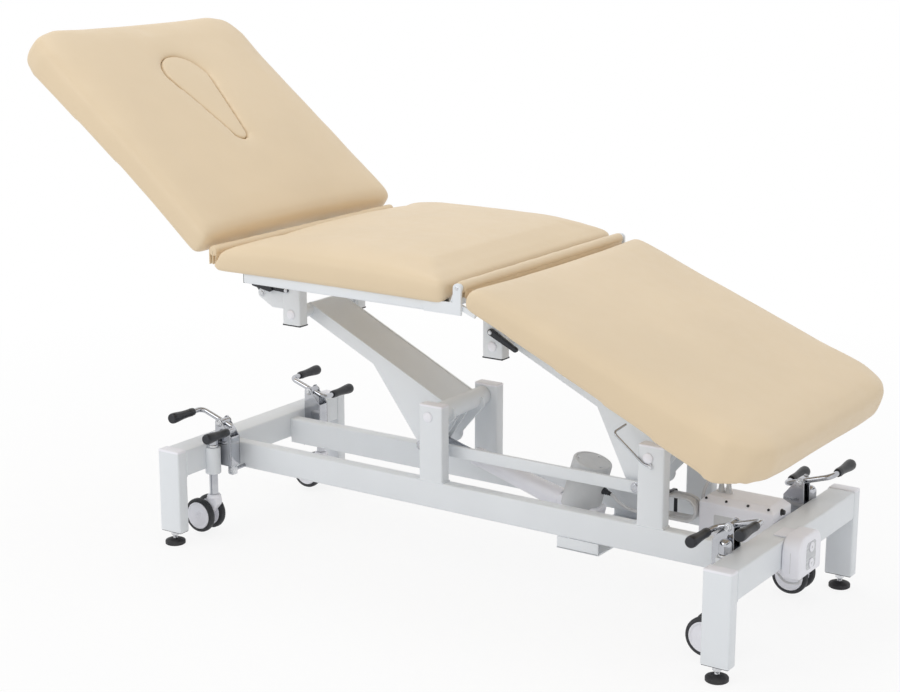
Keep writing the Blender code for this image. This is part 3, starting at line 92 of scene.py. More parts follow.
# Routes of the two cables
CABLE_RADIUS = 0.0035
HANDSET_CABLE_RADIUS = 0.0025
MOTOR_CABLE_OUT = 0.022
MOTOR_CABLE_LEAD = ((-0.108, -0.010, -0.006), (-0.078, -0.011, -0.018))
MOTOR_CABLE_RISE = ((-0.0054, -0.0137, -0.005), (0.0026, -0.0097, 0.020), (0.0146, -0.004, 0.034),
                    (0.0266, 0, 0.018), (0.028, 0, 0.0003))
HANK_MIDDLE = Vector((0.5626, -0.002, 0.213))
HANK_HALF = 0.042
HANK_RADIUS = 0.0232
HANK_PITCH = 0.0088
HANK_LOOPS = 4
HANK_SWAY = 0.0012
LOOP_POINTS = 24
HANDSET_CABLE_FALL = ((0, 0, 0), (0, 0, -0.014), (0.014, -0.012, -0.032), (0.050, -0.032, -0.046))
HANDSET_CABLE_RISE = ((-0.032, 0.006, -0.030), (-0.004, 0, -0.024), (0, 0, -0.012), (0, 0, 0))

# Ends of the two cables, on the actuator in its own frame, and the hand control's buttons
SOCKET_X = 0.0272
SOCKET_Z = 0.0649
BOX_ENTRY = Vector((0.6340, 0.0497, 0.250))
BOX_EXIT = Vector((0.7680, 0.0297, 0.1647))
HANDSET_ENTRY = Vector((0.8800, -0.0375, 0.1477))
BUTTON_Z = 0.188
BUTTON_STEP = 0.0165

# Half widths of the tubes, and small forms that repeat
TUBE_HALF = 0.030
RAIL_HALF = 0.015
SLIM_HALF = 0.0125
CAP_ROUND = 0.7
PLUG_FACE = 0.1234
PIN_EDGE = 0.0008
PIN_SIDES = 24
WELD_SPACING = 0.0035
WELD_RIPPLE = 1500
WELD_RELIEF = 0.22

# Forms of the lift arms, head arm first
ARM_UNDER = (0.0149, 0.0070)
GUSSET_BEND = (0.5, 0.41)
GUSSET_START = (170, 215)

# How the covers are held, evened and hemmed
HELD_BAND = 0.010
HOLE_MARGIN = 0.012
WALL_NORMAL = 0.6
PLUG_VOXEL = 0.004
EVENING_ROUNDS = 16
HEM_WIDTH = 0.034
HEM_BLEND = 0.020

# Limits of the tests that pick faces and edges
SHARP_ANGLE = math.radians(30)
FACING = 0.9
ALONG = 0.99
SAME_HEIGHT = 1e-5
DOUBLES = 1e-6

# The middle of a texture's range, over which tint and gloss vary
TEXTURE_LOW = 0.3
TEXTURE_HIGH = 0.7

# Camera, lamps and floor
SENSOR_WIDTH = 36
CLIP_END = 60
LIGHT_TARGET = Vector((0.05, 0, 0.5))
TOP_SHARE = 0.80
FLOOR_SIZE = 24
FLOOR_GAP = 0.0002
FADE_START = 1.0
FADE_END = 2.6
FADE_LEAST = 0.86

SIDES = (("near", -1), ("far", 1))
ENDS = (("head", -1), ("foot", 1))
CORNERS = tuple((f"{side}_{end}", side[0] + end[0], sign, way) for end, sign in ENDS for side, way in SIDES)
LEVEL = Matrix.Identity(4)


class CouchSizes(bpy.types.PropertyGroup):
    """Sizes that a user may change without moving a joint."""

    tube_round: FloatProperty(name="Tube corner", description="Outer corner radius of the square tubes",
                              default=0.004, min=0.001, max=0.008, unit="LENGTH", subtype="DISTANCE")
    plate_edge: FloatProperty(name="Plate edge", description="Rounding along the edges of cut plates",
                              default=0.0008, min=0.0002, max=0.002, unit="LENGTH", subtype="DISTANCE")
    weld: FloatProperty(name="Weld bead", description="Radius of the weld beads between the tubes",
                        default=0.0022, min=0.001, max=0.004, unit="LENGTH", subtype="DISTANCE")
    hub: FloatProperty(name="Wheel hub", description="Radius of the white hub inside each castor tyre",
                       default=0.0315, min=0.02, max=0.035, unit="LENGTH", subtype="DISTANCE")
    voxel: FloatProperty(name="Cover mesh", description="Mesh size of the cushions before they are inflated",
                         default=0.0065, min=0.005, max=0.01, unit="LENGTH", subtype="DISTANCE")
    pressure: FloatProperty(name="Filling", description="Pressure of the filling against the cover",
                            default=4.0, min=0.0, max=10.0)
    frames: IntProperty(name="Settling frames", description="Frames that the covers take to settle",
                        default=20, min=5, max=40)


class CouchColours(bpy.types.PropertyGroup):
    """Base colours of the finishes."""

    vinyl: FloatVectorProperty(name="Vinyl", description="Cream cover of the padded sections",
                               default=(0.772, 0.622, 0.427), min=0, max=1, subtype="COLOR")
    coat: FloatVectorProperty(name="Powder coat", description="Off-white coat of the steel frames",
                              default=(0.80, 0.83, 0.862), min=0, max=1, subtype="COLOR")
    plastic: FloatVectorProperty(name="White plastic", description="Cool white of the moulded cases and hubs",
                                 default=(0.90, 0.90, 0.955), min=0, max=1, subtype="COLOR")
    motor: FloatVectorProperty(name="Motor case", description="Grey of the lift motor's case",
                               default=(0.64, 0.65, 0.66), min=0, max=1, subtype="COLOR")
    black: FloatVectorProperty(name="Black plastic", description="Grips, levers and end caps",
                               default=(0.012, 0.014, 0.019), min=0, max=1, subtype="COLOR")
    cable: FloatVectorProperty(name="Cable", description="Grey sheath of the cables",
                               default=(0.66, 0.66, 0.67), min=0, max=1, subtype="COLOR")


class CouchStage(bpy.types.PropertyGroup):
    """Camera and light."""

    place: FloatVectorProperty(name="Camera", description="Where the camera stands",
                               default=(2.2550, -3.310, 1.464), unit="LENGTH", subtype="TRANSLATION")
    azimuth: FloatProperty(name="Azimuth", description="Turn of the camera round the couch",
                           default=math.radians(33.994), unit="ROTATION", subtype="ANGLE")
    elevation: FloatProperty(name="Elevation", description="Height of the camera as an angle",
                             default=math.radians(13.846), unit="ROTATION", subtype="ANGLE")
    lens: FloatProperty(name="Lens", description="Focal length on a 36 mm wide sensor in millimetres",
                        default=75.14, min=20, max=200)
    key: FloatProperty(name="Key light", description="Power of the wide light over the near side",
                       default=54.0, min=0, subtype="POWER", unit="POWER")
    fill: FloatProperty(name="Fill light", description="Power of the light at the foot end",
                        default=3.0, min=0, subtype="POWER", unit="POWER")
    ambient: FloatProperty(name="Ambient", description="Strength of the even light from all round",
                           default=0.775, min=0, max=2)


def set_inputs(node, values):
    """Set a shader node's own sockets by name."""
    for name, value in values.items():
        node.inputs[name].default_value = value


class Look:
    """A material whose colour, roughness and bump vary over the piece's own coordinates."""

    def __init__(self, name, colour, roughness, metallic=0.0):
        self.material = bpy.data.materials.new(name)
        self.material.use_nodes = True
        self.tree = self.material.node_tree
        self.shader = self.tree.nodes["Principled BSDF"]
        set_inputs(self.shader, {"Base Color": (*colour, 1), "Roughness": roughness, "Metallic": metallic})
        self.place = self.add("ShaderNodeTexCoord").outputs["Object"]
        self.normal = None

    def add(self, kind):
        return self.tree.nodes.new(kind)

    def noise(self, scale, detail, stretch=None):
        texture = self.add("ShaderNodeTexNoise")
        set_inputs(texture, {"Scale": scale, "Detail": detail})
        self.feed(texture, stretch)
        return texture.outputs["Fac"]

    def cells(self, scale):
        texture = self.add("ShaderNodeTexVoronoi")
        set_inputs(texture, {"Scale": scale})
        self.feed(texture)
        return texture.outputs["Distance"]

    def feed(self, texture, stretch=None):
        source = self.place
        if stretch:
            mapping = self.add("ShaderNodeMapping")
            mapping.inputs["Scale"].default_value = stretch
            self.tree.links.new(source, mapping.inputs["Vector"])
            source = mapping.outputs["Vector"]
        self.tree.links.new(source, texture.inputs["Vector"])

    def tint(self, factor, low, high):
        """Colour between two tints over the middle of a factor's range."""
        ramp = self.add("ShaderNodeValToRGB")
        for stop, place, colour in zip(ramp.color_ramp.elements, (TEXTURE_LOW, TEXTURE_HIGH), (low, high)):
            stop.position = place
            stop.color = (*colour, 1)
        self.tree.links.new(factor, ramp.inputs["Fac"])
        self.tree.links.new(ramp.outputs["Color"], self.shader.inputs["Base Color"])

    def gloss(self, factor, low, high):
        """Roughness between two values over the middle of a factor's range."""
        spread = self.add("ShaderNodeMapRange")
        set_inputs(spread, {"From Min": TEXTURE_LOW, "From Max": TEXTURE_HIGH, "To Min": low, "To Max": high})
        self.tree.links.new(factor, spread.inputs["Value"])
        self.tree.links.new(spread.outputs["Result"], self.shader.inputs["Roughness"])

    def bump(self, height, depth, strength):
        """Add relief of a depth in metres to the surface."""
        relief = self.add("ShaderNodeBump")
        set_inputs(relief, {"Distance": depth, "Strength": strength})
        self.tree.links.new(height, relief.inputs["Height"])
        if self.normal:
            self.tree.links.new(self.normal, relief.inputs["Normal"])
        self.normal = relief.outputs["Normal"]
        self.tree.links.new(self.normal, self.shader.inputs["Normal"])


def shaded(colour, share):
    return tuple(min(1.0, part * share) for part in colour)


def cream_vinyl(colours):
    look = Look("cream vinyl", colours.vinyl, 0.46)
    look.tint(look.noise(4.0, 3.0), shaded(colours.vinyl, 0.965), shaded(colours.vinyl, 1.02))
    look.gloss(look.noise(38.0, 3.0), 0.42, 0.52)
    look.bump(look.noise(26.0, 2.0), 0.0006, 0.35)
    look.bump(look.cells(1050.0), 0.00012, 0.5)
    set_inputs(look.shader, {"Specular IOR Level": 0.42, "Sheen Weight": 0.06})
    return look.material


def powder_coat(colours):
    look = Look("off-white powder coat", colours.coat, 0.36)
    look.tint(look.noise(7.0, 4.0), shaded(colours.coat, 0.97), shaded(colours.coat, 1.015))
    look.gloss(look.noise(90.0, 3.0), 0.31, 0.43)
    look.bump(look.noise(620.0, 2.0), 0.00010, 0.45)
    return look.material


def chrome_painted_reflection(_):
    # Painted reflection: a darkened grey tone, with lighter and darker streaks from noise, stands in for the
    # dark surroundings that polished chrome would reflect.
    look = Look("polished chrome", (0.47, 0.48, 0.51), 0.1, 1.0)
    look.tint(look.noise(22.0, 3.0), (0.42, 0.43, 0.46), (0.52, 0.53, 0.56))
    look.gloss(look.noise(70.0, 4.0), 0.06, 0.16)
    return look.material


def zinc_plate(_):
    look = Look("bright zinc", (0.66, 0.67, 0.69), 0.3, 1.0)
    look.tint(look.cells(240.0), (0.60, 0.61, 0.63), (0.72, 0.73, 0.75))
    look.gloss(look.noise(160.0, 4.0), 0.22, 0.38)
    look.bump(look.noise(420.0, 2.0), 0.00005, 0.4)
    return look.material


def black_plastic(colours):
    look = Look("black plastic", colours.black, 0.38)
    look.tint(look.noise(45.0, 3.0), shaded(colours.black, 0.8), shaded(colours.black, 1.35))
    look.gloss(look.noise(120.0, 3.0), 0.32, 0.46)
    look.bump(look.noise(1400.0, 1.0), 0.00006, 0.4)
    return look.material


def black_rubber(_):
    look = Look("black rubber", (0.02, 0.02, 0.024), 0.62)
    look.tint(look.noise(60.0, 4.0), (0.016, 0.016, 0.019), (0.034, 0.034, 0.036))
    look.gloss(look.noise(150.0, 3.0), 0.55, 0.7)
    look.bump(look.noise(900.0, 2.0), 0.00010, 0.4)
    return look.material


def tyre_rubber(_):
    look = Look("tyre rubber", (0.016, 0.017, 0.022), 0.55)
    look.tint(look.noise(80.0, 4.0), (0.012, 0.013, 0.017), (0.030, 0.031, 0.036))
    look.gloss(look.noise(200.0, 3.0), 0.48, 0.64)
    look.bump(look.noise(700.0, 2.0), 0.00012, 0.4)
    return look.material


def black_paint(_):
    look = Look("black paint", (0.028, 0.028, 0.03), 0.28)
    look.gloss(look.noise(90.0, 3.0), 0.22, 0.36)
    look.tint(look.noise(30.0, 3.0), (0.022, 0.022, 0.024), (0.038, 0.038, 0.04))
    look.bump(look.noise(500.0, 2.0), 0.00005, 0.35)
    return look.material


def white_plastic(colours):
    look = Look("cool white plastic", colours.plastic, 0.4)
    look.tint(look.noise(18.0, 3.0), shaded(colours.plastic, 0.97), shaded(colours.plastic, 1.01))
    look.gloss(look.noise(110.0, 3.0), 0.34, 0.46)
    look.bump(look.noise(1100.0, 1.0), 0.00005, 0.4)
    return look.material


def motor_plastic(colours):
    look = Look("grey motor case", colours.motor, 0.44)
    look.tint(look.noise(25.0, 3.0), shaded(colours.motor, 0.95), shaded(colours.motor, 1.04))
    look.gloss(look.noise(130.0, 3.0), 0.38, 0.52)
    look.bump(look.noise(1000.0, 2.0), 0.00008, 0.45)
    return look.material


def cable_sheath(colours):
    look = Look("grey cable sheath", colours.cable, 0.45)
    look.tint(look.noise(60.0, 3.0), shaded(colours.cable, 0.93), shaded(colours.cable, 1.03))
    look.gloss(look.noise(200.0, 2.0), 0.4, 0.52)
    look.bump(look.noise(500.0, 2.0), 0.00006, 0.35)
    return look.material


def brushed_panel(_):
    look = Look("brushed panel", (0.56, 0.57, 0.59), 0.34, 0.9)
    look.tint(look.noise(300.0, 3.0, (0.2, 0.02, 1.0)), (0.48, 0.49, 0.51), (0.62, 0.63, 0.65))
    look.gloss(look.noise(420.0, 2.0, (0.2, 0.02, 1.0)), 0.28, 0.42)
    return look.material


FINISHES = {
    "vinyl": (cream_vinyl, "cream_vinyl"),
    "coat": (powder_coat, "white_coat"),
    "chrome": (chrome_painted_reflection, "chrome"),
    "zinc": (zinc_plate, "chrome"),
    "black": (black_plastic, "black_plastic"),
    "rubber": (black_rubber, "black_rubber"),
    "tyre": (tyre_rubber, "tyre"),
    "paint": (black_paint, "black_paint"),
    "plastic": (white_plastic, "white_plastic"),
    "motor": (motor_plastic, "white_plastic"),
    "cable": (cable_sheath, "grey_cable"),
    "panel": (brushed_panel, "white_plastic"),
}
MADE = {}


def finish_named(key):
    """The material of a finish, made the first time that a piece asks for it."""
    if key not in MADE:
        MADE[key] = FINISHES[key][0](bpy.context.scene.couch_colours)
    return MADE[key]


def deselect():
    """Leave edit mode with nothing selected, because the loaded solids start selected."""
    if bpy.context.mode != "OBJECT":
        bpy.ops.object.mode_set(mode="OBJECT")
    bpy.ops.object.select_all(action="DESELECT")


def activate(obj):
    deselect()
    obj.select_set(True)
    bpy.context.view_layer.objects.active = obj


def settle(obj, place=LEVEL):
    """Put a piece in its place and move that place into its mesh."""
    obj.matrix_world = place @ obj.matrix_world
    activate(obj)
    bpy.ops.object.transform_apply(location=True, rotation=True, scale=True)
    return obj


def tilt(hinge, angle):
    """A turn about a hinge that lies along Y."""
    return Matrix.Translation(hinge) @ Matrix.Rotation(angle, 4, "Y") @ Matrix.Translation(-hinge)


def along_axis(start, direction):
    """The place of a piece modelled up Z from the origin, turned to start at a point along a direction."""
    turn = Vector(direction).to_track_quat("Z", "Y").to_matrix().to_4x4()
    return Matrix.Translation(start) @ turn


def corner_place(sign, way):
    """From the near foot corner, where corner pieces are modelled, to another corner."""
    middle = Matrix.Translation((BASE_X, 0, 0))
    return middle @ Matrix.Diagonal((sign, -way, 1, 1)) @ middle.inverted()


def open_edit(obj, kind):
    activate(obj)
    bpy.ops.object.mode_set(mode="EDIT")
    bpy.ops.mesh.select_mode(type=kind)
    bpy.ops.mesh.select_all(action="DESELECT")
    return bmesh.from_edit_mesh(obj.data)


def close_edit():
    bpy.ops.object.mode_set(mode="OBJECT")


def pick_faces(obj, test):
    shape = open_edit(obj, "FACE")
    for face in shape.faces:
        face.select_set(bool(test(face)))
    bmesh.update_edit_mesh(obj.data)


def pick_edges(obj, test):
    shape = open_edit(obj, "EDGE")
    for edge in shape.edges:
        edge.select_set(bool(test(edge)))
    bmesh.update_edit_mesh(obj.data)


def sharp(edge):
    return len(edge.link_faces) == 2 and edge.calc_face_angle() > SHARP_ANGLE


def running(axis):
    """A test for edges that run along an axis."""
    def test(edge):
        first, second = edge.verts
        return abs((second.co - first.co).normalized()[axis]) > ALONG
    return test


def highest(level):
    """A test for edges that lie at a height."""
    def test(edge):
        return all(abs(vert.co.z - level) < SAME_HEIGHT for vert in edge.verts)
    return test


def round_edges(obj, width, segments, test=sharp):
    pick_edges(obj, test)
    bpy.ops.mesh.bevel(offset=width, segments=segments, affect="EDGES")
    close_edit()
    return obj


def make_solid(obj):
    """Merge doubles and turn all faces outwards."""
    open_edit(obj, "VERT")
    bpy.ops.mesh.select_all(action="SELECT")
    bpy.ops.mesh.remove_doubles(threshold=DOUBLES)
    bpy.ops.mesh.normals_make_consistent(inside=False)
    close_edit()
    return obj


def modify(obj, kind, **settings):
    """Add a modifier with these settings and apply it."""
    activate(obj)
    step = obj.modifiers.new(kind.lower(), kind)
    for key, value in settings.items():
        setattr(step, key, value)
    bpy.ops.object.modifier_apply(modifier=step.name)
    return obj


def block(low, high):
    """A cube at its size and place."""
    low, high = Vector(low), Vector(high)
    deselect()
    bpy.ops.mesh.primitive_cube_add(size=1, location=(low + high) / 2, scale=high - low)
    return settle(bpy.context.object)


def slab(low, high, edge):
    """A block with its edges rounded."""
    return round_edges(block(low, high), edge, 2)


def tube_bar(low, high, axis):
    """A rectangular steel tube with round corners along its length."""
    return round_edges(block(low, high), bpy.context.scene.couch_sizes.tube_round, 3, running(axis))


def tube_cap(low, high):
    """A moulded cap over a tube's upper end, with its rim rounded."""
    made = tube_bar(low, high, 2)
    return round_edges(made, (high[2] - low[2]) * CAP_ROUND, 3, highest(high[2]))


def turned(profile, sides):
    """A piece turned about Z: a disc extruded and resized through (radius, height) points, going up."""
    (wide, low), (second, high) = profile[:2]
    deselect()
    bpy.ops.mesh.primitive_cylinder_add(vertices=sides, radius=wide, depth=high - low,
                                        location=(0, 0, (low + high) / 2))
    made = settle(bpy.context.object)
    pick_faces(made, lambda face: face.normal.z > FACING)
    bpy.ops.transform.resize(value=(second / wide, second / wide, 1), center_override=(0, 0, high))
    for radius, height in profile[2:]:
        share = radius / second
        bpy.ops.mesh.extrude_region_move(TRANSFORM_OT_translate={"value": (0, 0, height - high)})
        bpy.ops.transform.resize(value=(share, share, 1), center_override=(0, 0, height))
        second, high = radius, height
    close_edit()
    return make_solid(made)


def pin(start, end, radius, edge=PIN_EDGE, sides=PIN_SIDES):
    """A round pin or tube between two points, with its end edges broken."""
    start, end = Vector(start), Vector(end)
    length = (end - start).length
    profile = [(radius - edge, 0), (radius, edge), (radius, length - edge), (radius - edge, length)]
    return settle(turned(profile, sides), along_axis(start, end - start))


def cross_pin(middle, half, radius, edge=PIN_EDGE, sides=PIN_SIDES):
    """A pin across the couch, reaching as far to either side of a point."""
    across = Vector((0, half, 0))
    return pin(middle - across, middle + across, radius, edge, sides)


def dome_plug(place, direction, radius, height):
    """A domed button that closes a hole."""
    steps = [(radius * math.cos(math.radians(a)), height * (0.35 + 0.65 * math.sin(math.radians(a))))
             for a in (12, 30, 48, 66, 82)]
    profile = [(radius * 0.96, 0), (radius, height * 0.1), (radius, height * 0.35)] + steps
    return settle(turned(profile, 28), along_axis(place, direction))


def bolt_head(place, direction, radius, height):
    """A hexagon head on a washer, with its corners chamfered."""
    washer = turned([(radius * 1.28, 0), (radius * 1.3, height * 0.08), (radius * 1.3, height * 0.22),
                     (radius * 1.22, height * 0.28)], 28)
    head = turned([(radius, height * 0.25), (radius, height * 0.9), (radius * 0.86, height),
                   (radius * 0.5, height), (radius * 0.46, height * 0.94)], 6)
    return settle(joined([head, washer]), along_axis(place, direction))


def curve_object(points, radius, ring, closed=False):
    """A round wire as a curve through points."""
    curve = bpy.data.curves.new("wire", "CURVE")
    curve.dimensions = "3D"
    curve.bevel_depth = radius
    curve.bevel_resolution = ring
    curve.use_fill_caps = True
    spline = curve.splines.new("POLY")
    spline.points.add(len(points) - 1)
    for point, place in zip(spline.points, points):
        point.co = (*place, 1)
    spline.use_cyclic_u = closed
    made = bpy.data.objects.new("wire", curve)
    bpy.context.scene.collection.objects.link(made)
    return made


def wire(points, radius, ring, closed=False):
    """A bent wire or rod as a mesh."""
    made = curve_object(points, radius, ring, closed)
    activate(made)
    bpy.ops.object.convert(target="MESH")
    return make_solid(bpy.context.object)


def weld(points):
    """A weld bead round a joint between two tubes."""
    radius = bpy.context.scene.couch_sizes.weld
    fine = []
    for first, second in zip(points, points[1:] + points[:1]):
        first, second = Vector(first), Vector(second)
        steps = max(1, round((second - first).length / WELD_SPACING))
        fine += [first.lerp(second, i / steps) for i in range(steps)]
    bead = wire(fine, radius, 2, closed=True)
    for vert in bead.data.vertices:
        wave = math.prod(math.sin(vert.co[i] * WELD_RIPPLE + i) for i in range(3))
        vert.co += vert.normal * wave * radius * WELD_RELIEF
    return bead


def plate(outline, axis, low, high, edge=None):
    """A plate cut to an outline and extruded along X, Y or Z, with its edges broken."""
    edge = edge or bpy.context.scene.couch_sizes.plate_edge
    curve = bpy.data.curves.new("plate", "CURVE")
    curve.dimensions = "2D"
    curve.fill_mode = "BOTH"
    curve.extrude = (high - low) / 2 - edge
    curve.bevel_depth = edge
    curve.bevel_resolution = 2
    curve.offset = -edge
    spline = curve.splines.new("POLY")
    spline.points.add(len(outline) - 1)
    for point, (across, up) in zip(spline.points, outline):
        point.co = (across, up, 0, 1)
    spline.use_cyclic_u = True
    made = bpy.data.objects.new("plate", curve)
    bpy.context.scene.collection.objects.link(made)
    activate(made)
    bpy.ops.object.convert(target="MESH")
    middle = (low + high) / 2
    frames = {"X": Matrix(((0, 0, 1, middle), (1, 0, 0, 0), (0, 1, 0, 0), (0, 0, 0, 1))),
              "Y": Matrix(((1, 0, 0, 0), (0, 0, -1, middle), (0, 1, 0, 0), (0, 0, 0, 1))),
              "Z": Matrix.Translation((0, 0, middle))}
    return make_solid(settle(bpy.context.object, frames[axis]))


def arc(centre, radius, start, end, steps):
    turns = [math.radians(start + (end - start) * i / steps) for i in range(steps + 1)]
    return [(centre[0] + radius * math.cos(t), centre[1] + radius * math.sin(t)) for t in turns]


def link_outline(first, second, first_radius, second_radius, steps=12):
    """The outline of a bar with two round ends."""
    across, up = second[0] - first[0], second[1] - first[1]
    heading = math.degrees(math.atan2(up, across))
    lean = math.degrees(math.acos((first_radius - second_radius) / math.hypot(across, up)))
    return (arc(second, second_radius, heading - lean, heading + lean, steps)
            + arc(first, first_radius, heading + lean, heading + 360 - lean, steps))


def rounded_box_outline(low, high, radius, steps=5):
    """The outline of a rectangle with round corners."""
    (left, bottom), (right, top) = low, high
    return (arc((right - radius, bottom + radius), radius, 270, 360, steps)
            + arc((right - radius, top - radius), radius, 0, 90, steps)
            + arc((left + radius, top - radius), radius, 90, 180, steps)
            + arc((left + radius, bottom + radius), radius, 180, 270, steps))


def flat(point):
    return (point[0], point[2])


def smooth_route(points, spacing):
    """Points at an even spacing on a smooth curve through a route's own points."""
    ends = [2 * points[0] - points[1]] + points + [2 * points[-1] - points[-2]]
    fine = []
    for a, b, c, d in zip(ends, ends[1:], ends[2:], ends[3:]):
        for i in range(16):
            t = i / 16
            fine.append(0.5 * (2 * b + (c - a) * t + (2 * a - 5 * b + 4 * c - d) * t ** 2
                               + (3 * b - a - 3 * c + d) * t ** 3))
    fine.append(points[-1])
    length = sum((q - p).length for p, q in zip(fine, fine[1:]))
    count = max(2, round(length / spacing))
    route, walked, target = [fine[0]], 0.0, length / count
    for p, q in zip(fine, fine[1:]):
        step = (q - p).length
        while walked + step >= target * len(route) and len(route) < count:
            route.append(p.lerp(q, (target * len(route) - walked) / step))
        walked += step
    return route + [fine[-1]]


def twin(model, move):
    """A copy of a piece with a mesh of its own, moved or mirrored to another place."""
    made = model.copy()
    made.data = model.data.copy()
    made.data.transform(move)
    if move.determinant() < 0:
        made.data.flip_normals()
    bpy.context.scene.collection.objects.link(made)
    return made


def joined(pieces):
    """Several meshes as one object."""
    activate(pieces[0])
    for other in pieces[1:]:
        other.select_set(True)
    bpy.ops.object.join()
    return bpy.context.object


def put(obj, name, body, finish, *nodes, smooth=32):
    """Name a finished piece, give it its finish and put it on the body that carries it."""
    obj.name = name
    obj.data.name = name
    obj.data.materials.clear()
    obj.data.materials.append(finish_named(finish))
    activate(obj)
    bpy.ops.object.shade_smooth_by_angle(angle=math.radians(smooth))
    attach(obj, body)
    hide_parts(*nodes)
    return obj


def put_corners(model, name, finish, body="base", node=None, mirrored=True):
    """Copy a piece modelled at the near foot corner to all four corners."""
    for label, short, sign, way in CORNERS:
        move = corner_place(sign, way)
        if not mirrored:
            move = Matrix.Translation(((sign - 1) * STEM_X, (way + 1) * STEM_Y, 0))
        nodes = [node.format(label=label, end=label.split("_")[1])] if node else []
        put(twin(model, move), f"{name}_{label}", body.format(short=short), finish, *nodes)
    bpy.data.objects.remove(model)


def build_camera(scene, settings):
    """The camera at the photograph's viewing angle."""
    level = math.cos(settings.elevation)
    away = Vector((math.sin(settings.azimuth) * level, -math.cos(settings.azimuth) * level,
                   math.sin(settings.elevation)))
    lens = bpy.data.cameras.new("camera")
    lens.lens = settings.lens
    lens.sensor_width = SENSOR_WIDTH
    lens.clip_end = CLIP_END
    camera = bpy.data.objects.new("camera", lens)
    camera.matrix_world = along_axis(settings.place, away)
    scene.collection.objects.link(camera)
    scene.camera = camera


def build_lights(scene, settings):
    """Three soft discs: over the near side, at the foot end and above."""
    lamps = (("key_light", (-2.0, -4.6, 3.6), settings.key, 3.2),
             ("fill_light", (4.2, -1.8, 2.0), settings.fill, 2.6),
             ("top_light", (-1.4, 0.4, 5.6), settings.key * TOP_SHARE, 3.0))
    for name, place, power, size in lamps:
        lamp = bpy.data.lights.new(name, "AREA")
        lamp.shape = "DISK"
        lamp.size = size
        lamp.energy = power
        light = bpy.data.objects.new(name, lamp)
        light.matrix_world = along_axis(place, Vector(place) - LIGHT_TARGET)
        scene.collection.objects.link(light)


def build_world(scene, settings):
    """A white room: even light on the couch, and plain white to the camera and in reflections."""
    world = bpy.data.worlds.new("white room")
    world.use_nodes = True
    scene.world = world
    nodes, links = world.node_tree.nodes, world.node_tree.links
    background = nodes["Background"]
    background.inputs["Color"].default_value = (1, 1, 1, 1)
    seen = background_seen(nodes, links)
    spread = nodes.new("ShaderNodeMapRange")
    set_inputs(spread, {"To Min": settings.ambient, "To Max": 1.0})
    links.new(seen, spread.inputs["Value"])
    links.new(spread.outputs["Result"], background.inputs["Strength"])


def build_floor():
    """A pale floor that keeps the couch's shadow and goes over into white further away."""
    deselect()
    bpy.ops.mesh.primitive_plane_add(size=FLOOR_SIZE, location=(0, 0, -FLOOR_GAP))
    floor = bpy.context.object
    floor.name = "floor"
    pale = bpy.data.materials.new("pale floor")
    pale.use_nodes = True
    nodes, links = pale.node_tree.nodes, pale.node_tree.links
    shader = nodes["Principled BSDF"]
    set_inputs(shader, {"Base Color": (0.9, 0.9, 0.9, 1), "Roughness": 0.9, "Specular IOR Level": 0.0})
    glow = nodes.new("ShaderNodeEmission")
    mix = nodes.new("ShaderNodeMixShader")
    distance = nodes.new("ShaderNodeVectorMath")
    distance.operation = "LENGTH"
    links.new(nodes.new("ShaderNodeTexCoord").outputs["Object"], distance.inputs[0])
    fade = nodes.new("ShaderNodeMapRange")
    set_inputs(fade, {"From Min": FADE_START, "From Max": FADE_END, "To Min": FADE_LEAST, "To Max": 1.0})
    links.new(distance.outputs["Value"], fade.inputs["Value"])
    share = nodes.new("ShaderNodeMath")
    share.operation = "MULTIPLY"
    links.new(background_seen(nodes, links), share.inputs[0])
    links.new(fade.outputs["Result"], share.inputs[1])
    links.new(share.outputs["Value"], mix.inputs["Fac"])
    links.new(shader.outputs["BSDF"], mix.inputs[1])
    links.new(glow.outputs["Emission"], mix.inputs[2])
    links.new(mix.outputs["Shader"], nodes["Material Output"].inputs["Surface"])
    floor.data.materials.append(pale)


def build_stage(scene):
    """Camera, soft lights, white world and a pale floor."""
    settings = scene.couch_stage
    build_camera(scene, settings)
    build_lights(scene, settings)
    build_world(scene, settings)
    build_floor()
    scene.view_settings.view_transform = "Standard"


def background_seen(nodes, links):
    """1 for rays from the camera and for mirrored or transmitted ones, else 0."""
    path = nodes.new("ShaderNodeLightPath")
    last = path.outputs["Is Camera Ray"]
    for kind in ("Is Glossy Ray", "Is Transmission Ray"):
        wider = nodes.new("ShaderNodeMath")
        wider.operation = "MAXIMUM"
        links.new(last, wider.inputs[0])
        links.new(path.outputs[kind], wider.inputs[1])
        last = wider.outputs["Value"]
    return last


def side_frame(direction):
    """A turn that brings X along a direction in the side view, with Z on its upper side."""
    along = direction.normalized()
    up = Vector((-along.z, 0, along.x))
    if up.z < 0:
        up = -up
    return Matrix((along, up.cross(along), up)).transposed().to_4x4()


def actuator_place():
    """The lift actuator's own frame: X along its rod, Z towards the motor's lid."""
    return Matrix.Translation(MOTOR_PIVOT) @ side_frame(LOW_PIVOTS[0] + LEVER - MOTOR_PIVOT)


